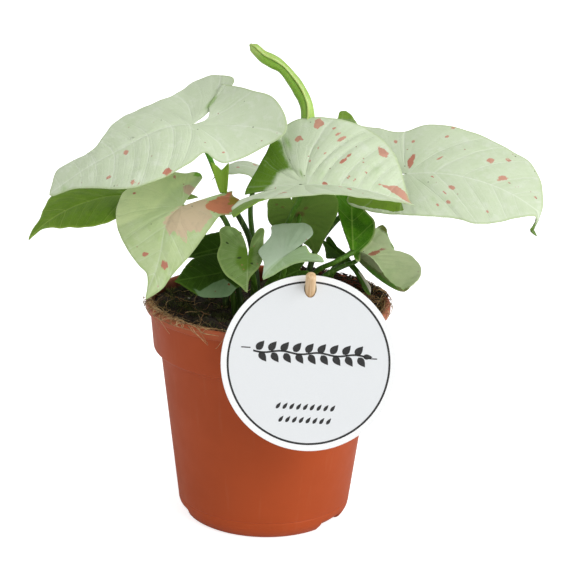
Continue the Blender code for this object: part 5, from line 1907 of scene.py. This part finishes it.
def blade_material(name, tone, groups, settings):
    """Make a blade's material: mottled colour, veins, splashes, specks and a pale underside."""
    leaf = Material(
        "blade " + name, tone.roughness, Specular_IOR_Level=tone.shine, Subsurface_Scale=0.0012,
        Subsurface_Weight=settings.translucence, Subsurface_Radius=(0.6, 1.0, 0.3),
    )
    paper = leaf.map("blade")
    tint, splash = leaf.paint("tint"), leaf.paint("splash")
    veins = leaf.add("Group", {"Width": 0.05}, node_tree=groups["veins"])
    specks = {"Cell": 42.0, "Size": 0.15, "Share": tone.specks}
    specks = leaf.add("Group", specks, node_tree=groups["specks"])
    soft = {"Depth": leaf.less(tint["Alpha"], 0.5), "Tear": 0.7, "Soft": 0.5}
    soft = leaf.add("Group", soft, node_tree=groups["edge"])[0]
    torn = {"Depth": splash["Alpha"], "Tear": 1.6, "Soft": 0.1}
    torn = leaf.add("Group", torn, node_tree=groups["edge"])[0]
    clouds = leaf.step(leaf.noise(paper, 9.0, 4.0, 0.6), 0.42, 0.68)
    streaks = leaf.step(leaf.grain(leaf.map("veins"), (2.2, 0.7, 1.0), 4.0, 0.6), 0.45, 0.75)
    milky = leaf.step(leaf.noise(paper, 17.0, 5.0, 0.65, 0.4), 0.48, 0.7)
    tinted = leaf.times(soft, leaf.step(tint["Alpha"], 0.0, 0.9))
    clouded = leaf.blend(leaf.times(clouds, 0.6), tint["Color"], (0.72, 0.8, 0.7), "MULTIPLY")
    uneven = leaf.blend(leaf.times(milky, 0.5), splash["Color"], (0.8, 0.8, 0.8), "MULTIPLY")
    under_vein = leaf.layered(tone.vein, (tinted, 0.75, tint["Color"]))
    vein = leaf.layered(under_vein, (torn, 0.8, splash["Color"]))
    along = leaf.add("SeparateXYZ", {0: paper})
    midrib = leaf.less(1.0, leaf.step(leaf.maths("ABSOLUTE", along[1]), 0.0015, 0.0055))
    midrib = leaf.times(midrib, leaf.step(along[0], -0.01, 0.02))
    rim = leaf.less(1.0, leaf.step(leaf.value("edge"), 0.1, 1.4))
    margin = leaf.blend(tinted, tone.margin, tint["Color"])
    above = leaf.layered(
        tone.base, (clouds, 0.55 * tone.patchy, tone.patch), (streaks, 0.4 * tone.patchy, tone.patch),
        (milky, 0.5, tone.light), (tinted, 1.0, clouded), (veins["Net"], 0.1, under_vein),
        (veins["Fine"], 0.08, under_vein), (torn, 1.0, uneven), (veins["Side"], 0.42, vein),
        (midrib, 0.5, vein), (specks["Warm"], 0.7, "#A9705A"), (specks["Dark"], 0.75, "#5B6B3C"),
        (rim, 0.6, margin),
    )
    below = leaf.layered(
        tone.under, (clouds, 1.0, tone.under_patch), (tinted, 0.85, clouded), (torn, 0.6, splash["Color"]),
        (veins["Side"], 0.4, tone.under_vein), (veins["Net"], 0.2, tone.under_vein),
        (midrib, 0.5, tone.under_vein), (rim, 0.7, margin),
    )
    leaf.put(leaf.sockets["Roughness"], leaf.plus(tone.roughness - 0.06, leaf.times(milky, 0.12)))
    height = leaf.times(leaf.noise(paper, 260.0, 2.0), 0.35)
    for kind, depth in (("Net", 0.5), ("Side", 1.2), ("Fine", 0.7)):
        height = leaf.less(height, leaf.times(veins[kind], depth))
    return leaf.finish(leaf.blend(leaf.value("under"), above, below), height, 0.5, 0.18)


def rolled_material():
    """Make the new leaf's material: bright yellow-green, streaked lengthwise, with painted shade on its inner
    turns and in the slot between them.
    """
    leaf = Material("new leaf", 0.36, Coat_Weight=0.15, Subsurface_Weight=0.1, Subsurface_Scale=0.0015)
    rise, share = leaf.value("rise"), leaf.value("share")
    place = leaf.add("CombineXYZ", {0: rise, 1: share})[0]
    streaks, bars = leaf.grain(place, (9.0, 60.0, 1.0)), leaf.grain(place, (55.0, 6.0, 1.0))
    # painted shade: the inner turns seen through the opening are darkened, and the slot between the turns a
    # little less
    inside = leaf.less(1.0, leaf.step(share, 0.1, 0.45))
    slot_shade = leaf.less(1.0, leaf.step(share, 0.45, 0.6))
    slot_shade = leaf.times(slot_shade, leaf.step(rise, 0.3, 0.5, 0.6, 1.0))
    slot_shade = leaf.times(slot_shade, leaf.less(1.0, leaf.step(rise, 0.85, 0.95)))
    colour = leaf.layered(
        "#9CC650", (leaf.step(streaks, 0.4, 0.65), 1.0, "#BBD976"),
        (leaf.step(bars, 0.5, 0.7), 0.4, "#CBE28C"),
        (leaf.step(rise, 0.78, 0.95), 0.75, "#B4CB72"), (leaf.step(share, 0.955, 0.985), 0.8, "#D3E58A"),
        (leaf.step(rise, 0.35, 0.55), 0.55, "#9CBA58"), (inside, 0.7, "#5E9414"), (slot_shade, 0.85, "#7FB02A"),
    )
    return leaf.finish(colour, leaf.plus(streaks, bars), 0.4, 0.25)


def petiole_material(name, low, high, change=(0.25, 0.9)):
    """Make a petiole's material: dark green low down and brighter up top, partly its own colour and partly
    painted shade, browner at the foot and streaked along its length.
    """
    stalk = Material(name, 0.4, Specular_IOR_Level=0.25)
    rise = stalk.value("rise")
    streaks = stalk.grain(stalk.place(), (900.0, 900.0, 45.0))
    brown = stalk.less(1.0, stalk.step(rise, 0.02, 0.16))
    # painted shade in part: the low colour darkens the petiole where it stands low in the plant's shade
    colour = stalk.layered(
        low, (stalk.step(rise, *change), 1.0, high), (stalk.step(streaks, 0.5, 0.75), 0.3, "#A8C66C"),
        (brown, 0.7, "#4A3A20"),
    )
    return stalk.finish(colour, streaks, 0.3, 0.2)


def pot_material(settings):
    """Make the pot's material: satin terracotta-coloured plastic, faintly clouded and scuffed, with a painted
    highlight round the rim and darker streaks down the inside of the wall.
    """
    plastic = Material("terracotta plastic", settings.roughness, Specular_IOR_Level=0.2)
    place = plastic.place()
    clouds = plastic.noise(place, 38.0, 4.0)
    streaks = plastic.grain(place, (260.0, 260.0, 14.0))
    base = tuple(settings.colour)
    height = plastic.add("SeparateXYZ", {0: place})[2]
    # painted highlight: a patchy lighter band round the top of the collar and the lip
    rim_highlight = plastic.times(plastic.step(height, 0.103, 0.1095), plastic.step(clouds, 0.3, 0.75, 0.1, 0.55))
    # darker in streaks down the inside of the wall above the peat
    inner_wall_dark = plastic.times(plastic.value("inside"), plastic.step(streaks, 0.2, 0.8, 0.95, 0.7))
    colour = plastic.layered(
        base, (plastic.step(clouds, 0.35, 0.7), 0.5, tuple(0.86 * v for v in base)),
        (plastic.step(streaks, 0.55, 0.8), 0.12, "#C07A58"), (rim_highlight, 1.0, "#B98468"),
        (plastic.value("hole"), 1.0, "#2A1D14"), (inner_wall_dark, 1.0, "#35190E"),
    )
    roughness = plastic.step(clouds, 0.3, 0.7, settings.roughness - 0.05, 0.5)
    plastic.put(plastic.sockets["Roughness"], roughness)
    grain = plastic.plus(plastic.noise(place, 900.0, 2.0), plastic.times(streaks, 0.5))
    return plastic.finish(colour, grain, 0.25, 0.08)


def peat_material(settings):
    """Make the peat's material: nearly black brown crumb with mossy patches."""
    peat = Material("peat", 0.95)
    place = peat.place()
    crumb, clods = peat.noise(place, 620.0, 5.0, 0.7), peat.noise(place, 120.0, 4.0)
    colour = peat.layered(
        tuple(settings.peat_colour), (peat.step(crumb, 0.4, 0.7), 1.0, "#4A3524"),
        (peat.step(clods, 0.52, 0.66), 0.55, tuple(settings.moss_colour)),
    )
    return peat.finish(colour, peat.plus(crumb, clods), 1.0, 1.2)


def litter_material():
    """Make the material of crumbs, moss and fibres: its colour runs with the piece's shade."""
    litter = Material("litter", 0.9)
    colours = litter.add("ValToRGB", {0: litter.value("shade")})[0]
    stops = colours.node.color_ramp.elements
    while len(stops) < len(LITTER_SHADES):
        stops.new(0.5)
    for stop, (place, code) in zip(stops, LITTER_SHADES):
        stop.position = place
        stop.color = (*linear(code), 1.0)
    noise = litter.noise(litter.place(), 700.0)
    colour = litter.layered(colours, (litter.step(noise, 0.35, 0.7), 0.45, "#1E170D"))
    return litter.finish(colour, noise, 0.6, 0.3)


def grit_material():
    """Make the white grit's material: chalky with grey clouds."""
    grit = Material("white grit", 0.8)
    noise = grit.noise(grit.place(), 900.0)
    return grit.finish(grit.blend(noise, "#E9E8E0", "#B9B6A8"), noise, 0.5, 0.2)


def card_material(settings):
    """Make the card's material: coated white, a shade greyer inside the printed ring."""
    card = Material("white card", 0.42)
    place = card.place()
    centre = tuple(v * MM for v in LABEL_CENTRE)
    away = card.add("VectorMath", {0: place, 1: centre}, operation="DISTANCE")["Value"]
    ring = settings.radius - settings.ring_inset
    fibre = card.noise(place, 1500.0)
    colour = card.layered(
        tuple(settings.card_colour), (card.step(away, ring - 0.2 * MM, ring), 1.0, "#FDFEFE"),
        (card.step(fibre, 0.4, 0.8), 0.12, "#D9DCDD"),
    )
    return card.finish(colour, fibre, 0.12, 0.05)


def ink_material(settings):
    """Make the printing ink's material: soft black with a faint mottle."""
    ink = Material("black ink", 0.5)
    black = tuple(settings.ink_colour)
    mottle = ink.step(ink.noise(ink.place(), 1100.0), 0.4, 0.75)
    return ink.finish(ink.blend(mottle, black, tuple(1.6 * v + 0.004 for v in black)))


def wood_material():
    """Make the stick's material: pale birch, its grain stretched along the slanted stick."""
    wood = Material("pale wood", 0.55)
    turn = (-math.radians(STICK_SLANT), 0.0, 0.0)
    place = wood.add("Mapping", {"Vector": wood.place(), "Rotation": turn})[0]
    grain = wood.grain(place, (1500.0, 1500.0, 70.0), 4.0, 0.6)
    rings = wood.grain(place, (420.0, 420.0, 18.0))
    colour = wood.layered(
        "#E6C69C", (wood.step(grain, 0.35, 0.75), 1.0, "#C79B68"),
        (wood.step(rings, 0.5, 0.7), 0.5, "#F0D9B6"),
    )
    return wood.finish(colour, grain, 0.3, 0.12)


def stage_material():
    """Make the floor's material: pale, faintly uneven and lifted so that it stays white."""
    floor = Material("white floor", 0.9, Emission_Strength=0.72)
    seen = floor.add("LightPath")["Is Camera Ray"]
    floor.put(floor.sockets["Emission Color"], floor.blend(seen, (0.0, 0.0, 0.0), (1.0, 1.0, 1.0)))
    noise = floor.noise(floor.place(), 3.0)
    return floor.finish(floor.blend(noise, (0.79, 0.79, 0.79), (0.82, 0.82, 0.82)))


def build_floor():
    """Make the floor: a round sheet far wider than the view."""
    turns = ring_turns(FLOOR_SIDES)
    points = FLOOR_RADIUS * np.stack([np.cos(turns), np.sin(turns), 0.0 * turns], axis=-1)
    mesh = bpy.data.meshes.new("floor")
    mesh.from_pydata((points * MM).tolist(), [], [list(range(FLOOR_SIDES))])
    mesh.materials.append(stage_material())
    floor = add_object("floor", mesh)


def build_lights(settings):
    """Light the plant with a broad sun from the right, a weak one from the left and a white sky."""
    suns = (
        ("broad sun", settings.sun, settings.sun_width, SUN_FROM),
        ("weak sun", settings.fill, math.radians(90.0), FILL_FROM),
    )
    for name, strength, width, place in suns:
        lamp = bpy.data.lights.new(name, "SUN")
        lamp.energy = strength
        lamp.angle = width
        towards = mathutils.Vector(unit(np.array(place)))
        add_object(name, lamp).rotation_euler = towards.to_track_quat("Z", "Y").to_euler()
    world = bpy.data.worlds.new("white sky")
    bpy.context.scene.world = world
    world.use_nodes = True
    shader = Shader(world.node_tree)
    sky = world.node_tree.nodes["Background"]
    seen = shader.add("LightPath")["Is Camera Ray"]
    shader.put(sky.inputs["Color"], (1.0, 1.0, 1.0))
    unseen = shader.times(seen, 1.0 - settings.sky)
    shader.put(sky.inputs["Strength"], shader.plus(settings.sky, unseen))
    bpy.context.scene.view_settings.view_transform = "Standard"


def build_camera(settings):
    """Set the camera where the photograph's stood.

    Its axes come from how far it looks down, round to the side and rolled."""
    down, yaw, roll = settings.pitch, settings.yaw, settings.roll
    level = math.cos(down)
    forward = mathutils.Vector((math.sin(yaw) * level, math.cos(yaw) * level, -math.sin(down)))
    right = forward.cross(mathutils.Vector((0.0, 0.0, 1.0))).normalized()
    up = right.cross(forward)
    across = math.cos(roll) * right + math.sin(roll) * up
    above = -math.sin(roll) * right + math.cos(roll) * up
    lens = bpy.data.cameras.new("camera")
    lens.sensor_width = 36.0
    lens.lens = settings.lens
    camera = add_object("camera", lens)
    axes = mathutils.Matrix((across, above, -forward)).transposed()
    camera.matrix_world = mathutils.Matrix.Translation(settings.place) @ axes.to_4x4()
    bpy.context.scene.camera = camera


def size(name, default, description):
    """Return a length property in metres."""
    return bpy.props.FloatProperty(
        name=name, description=description, default=default, min=0.0, unit="LENGTH",
    )


def angle(name, degrees, description):
    """Return an angle property."""
    return bpy.props.FloatProperty(
        name=name, description=description, default=math.radians(degrees), subtype="ANGLE")


def share(name, default, description):
    """Return a plain number property from nothing upwards."""
    return bpy.props.FloatProperty(name=name, description=description, default=default, min=0.0)


def count(name, default, description):
    """Return a whole number property."""
    return bpy.props.IntProperty(name=name, description=description, default=default, min=0)


def paint(name, code, description):
    """Return a colour property."""
    return bpy.props.FloatVectorProperty(
        name=name, description=description, default=linear(code), subtype="COLOR", size=3, min=0.0, max=1.0)


POT_LOW, POT_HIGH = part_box("pot")


class PlantPotSettings(bpy.types.PropertyGroup):
    """Sizes and finish of the pot."""

    rim_radius: size("Rim radius", (POT_HIGH[0] - POT_LOW[0]) / 2, "Outside radius of the rolled rim")
    height: size("Height", float(POT_HIGH[2]), "Height of the pot")
    sides: count("Sides", 256, "Steps round the pot")
    roughness: share("Roughness", 0.4, "Roughness of the plastic")
    colour: paint("Colour", "#B24D22", "Colour of the plastic")


class PlantPeatSettings(bpy.types.PropertyGroup):
    """What lies on the peat."""

    crumbs: count("Crumbs", 900, "How many crumbs lie on the peat")
    tufts: count("Moss tufts", 150, "How many tufts of moss grow on the peat")
    fibres: count("Fibres", 560, "How many root fibres and straws lie on the peat")
    peat_colour: paint("Peat", "#1D130C", "Colour of the peat")
    moss_colour: paint("Moss", "#4D5420", "Colour of the moss film on the peat")


class PlantLabelSettings(bpy.types.PropertyGroup):
    """Sizes and colours of the label."""

    radius: size("Radius", 0.040, "Radius of the round card")
    thickness: size("Thickness", 0.0009, "Thickness of the card")
    ring_inset: size("Ring inset", 0.0032, "Distance of the printed ring from the card's edge")
    lean: angle("Lean", 17.0, "How far the card leans back")
    card_colour: paint("Card", "#E9ECEE", "Colour of the card inside the ring")
    ink_colour: paint("Ink", "#252525", "Colour of the printing")


class PlantLeafSettings(bpy.types.PropertyGroup):
    """Sizes of the blades."""

    thickness: size("Thickness", 0.0005, "Thickness of a blade")
    quilt: share("Quilting", 1.0, "How strongly the blades swell between their veins")
    detail: share("Detail", 1.0, "Share of the full number of steps in each blade")
    translucence: share("Translucence", 0.0, "How much light spreads inside a blade")
    scroll_open: angle("Scroll edge", 62.0, "Turn of the rolled leaf's outer edge")


class PlantStageSettings(bpy.types.PropertyGroup):
    """Light and camera."""

    sun: share("Sun", 2.35, "Strength of the sun")
    sun_width: angle("Sun width", 58.0, "How wide the sun is")
    fill: share("Weak sun", 0.75, "Strength of the weak sun from the left")
    sky: share("Sky", 0.42, "Strength of the white sky")
    pitch: angle("Pitch", 16.6, "How far the camera looks down")
    yaw: angle("Yaw", 0.64, "How far the camera looks to the right")
    roll: angle("Roll", 1.56, "How far the camera is rolled")
    lens: bpy.props.FloatProperty(
        name="Lens", description="Focal length in millimetres", default=101.96, unit="CAMERA",
    )
    place: bpy.props.FloatVectorProperty(
        name="Place", description="Where the camera stands", default=(0.0, -0.760, 0.343),
        subtype="TRANSLATION",
    )


class PLANT_OT_pot(bpy.types.Operator):
    """Build the pot."""

    bl_idname = "plant.pot"
    bl_label = "Pot"

    def execute(self, context):
        settings = context.scene.plant_pot
        build_pot(settings, {"pot": pot_material(settings)})
        return {"FINISHED"}


class PLANT_OT_peat(bpy.types.Operator):
    """Build the peat with its crumbs, grit, moss and fibres."""

    bl_idname = "plant.peat"
    bl_label = "Peat"

    def execute(self, context):
        settings = context.scene.plant_peat
        shaders = {"peat": peat_material(settings), "litter": litter_material(), "grit": grit_material()}
        build_peat(shaders)
        build_crumbs(settings, shaders)
        build_moss(settings, shaders)
        build_fibres(settings, shaders)
        return {"FINISHED"}


class PLANT_OT_label(bpy.types.Operator):
    """Build the round label, its printing and its stick."""

    bl_idname = "plant.label"
    bl_label = "Label"

    def execute(self, context):
        settings = context.scene.plant_label
        shaders = {"card": card_material(settings), "ink": ink_material(settings), "wood": wood_material()}
        build_card(settings, shaders)
        build_print(settings, shaders)
        build_stick(settings, shaders)
        return {"FINISHED"}


class PLANT_OT_leaves(bpy.types.Operator):
    """Build the open leaves: blades and petioles."""

    bl_idname = "plant.leaves"
    bl_label = "Leaves"

    def execute(self, context):
        settings = context.scene.plant_leaf
        groups = {"veins": vein_group(), "edge": torn_edge_group(), "specks": speck_group()}
        shaders = {name: blade_material(name, tone, groups, settings) for name, tone in TONES.items()}
        stalks = {
            "petiole": petiole_material("petiole", "#2A4410", "#4F7A22"),
            "bright petiole": petiole_material("bright petiole", "#2E4A12", "#5FA32B", (0.55, 0.66)),
        }
        for name, leaf in LEAVES.items():
            build_blade(name, leaf, settings, shaders[leaf.tone])
            line = petiole_line(leaf.foot, leaf.route, petiole_top(leaf), 60)
            build_petiole(name, line, stalks[leaf.stalk], "petiole_" + name, np.array(leaf.joint, float))
        return {"FINISHED"}


class PLANT_OT_new_leaf(bpy.types.Operator):
    """Build the rolled new leaf and its petiole."""

    bl_idname = "plant.new_leaf"
    bl_label = "New leaf"

    def execute(self, context):
        shaders = {
            "rolled": rolled_material(),
            "new petiole": petiole_material("new petiole", "#4F7A1F", "#9CC544"),
        }
        build_rolled_leaf(context.scene.plant_leaf, shaders)
        return {"FINISHED"}


class PLANT_OT_stage(bpy.types.Operator):
    """Set the floor, the light and the camera."""

    bl_idname = "plant.stage"
    bl_label = "Stage"

    def execute(self, context):
        settings = context.scene.plant_stage
        build_floor()
        build_lights(settings)
        build_camera(settings)
        return {"FINISHED"}


OPERATORS = (PLANT_OT_pot, PLANT_OT_peat, PLANT_OT_label, PLANT_OT_leaves, PLANT_OT_new_leaf, PLANT_OT_stage)
SETTINGS = {
    "plant_pot": PlantPotSettings, "plant_peat": PlantPeatSettings, "plant_label": PlantLabelSettings,
    "plant_leaf": PlantLeafSettings, "plant_stage": PlantStageSettings,
}


class PLANT_PT_panel(bpy.types.Panel):
    """List the plant's operators and settings."""

    bl_idname = "PLANT_PT_panel"
    bl_label = "Potted plant"
    bl_space_type = "VIEW_3D"
    bl_region_type = "UI"
    bl_category = "Plant"

    def draw(self, context):
        for operator in OPERATORS:
            self.layout.operator(operator.bl_idname)
        for name in SETTINGS:
            settings = getattr(context.scene, name)
            box = self.layout.box()
            box.label(text=name.replace("_", " ").capitalize())
            for key in type(settings).__annotations__:
                box.prop(settings, key)


def register():
    for made in (*SETTINGS.values(), *OPERATORS, PLANT_PT_panel):
        bpy.utils.register_class(made)
    for name, kind in SETTINGS.items():
        setattr(bpy.types.Scene, name, bpy.props.PointerProperty(type=kind))


def unregister():
    for name in SETTINGS:
        delattr(bpy.types.Scene, name)
    for made in reversed((*SETTINGS.values(), *OPERATORS, PLANT_PT_panel)):
        bpy.utils.unregister_class(made)


def main():
    register()
    bpy.ops.plant.pot()
    bpy.ops.plant.peat()
    bpy.ops.plant.label()
    bpy.ops.plant.leaves()
    bpy.ops.plant.new_leaf()
    bpy.ops.plant.stage()


if __name__ == "__main__":
    main()
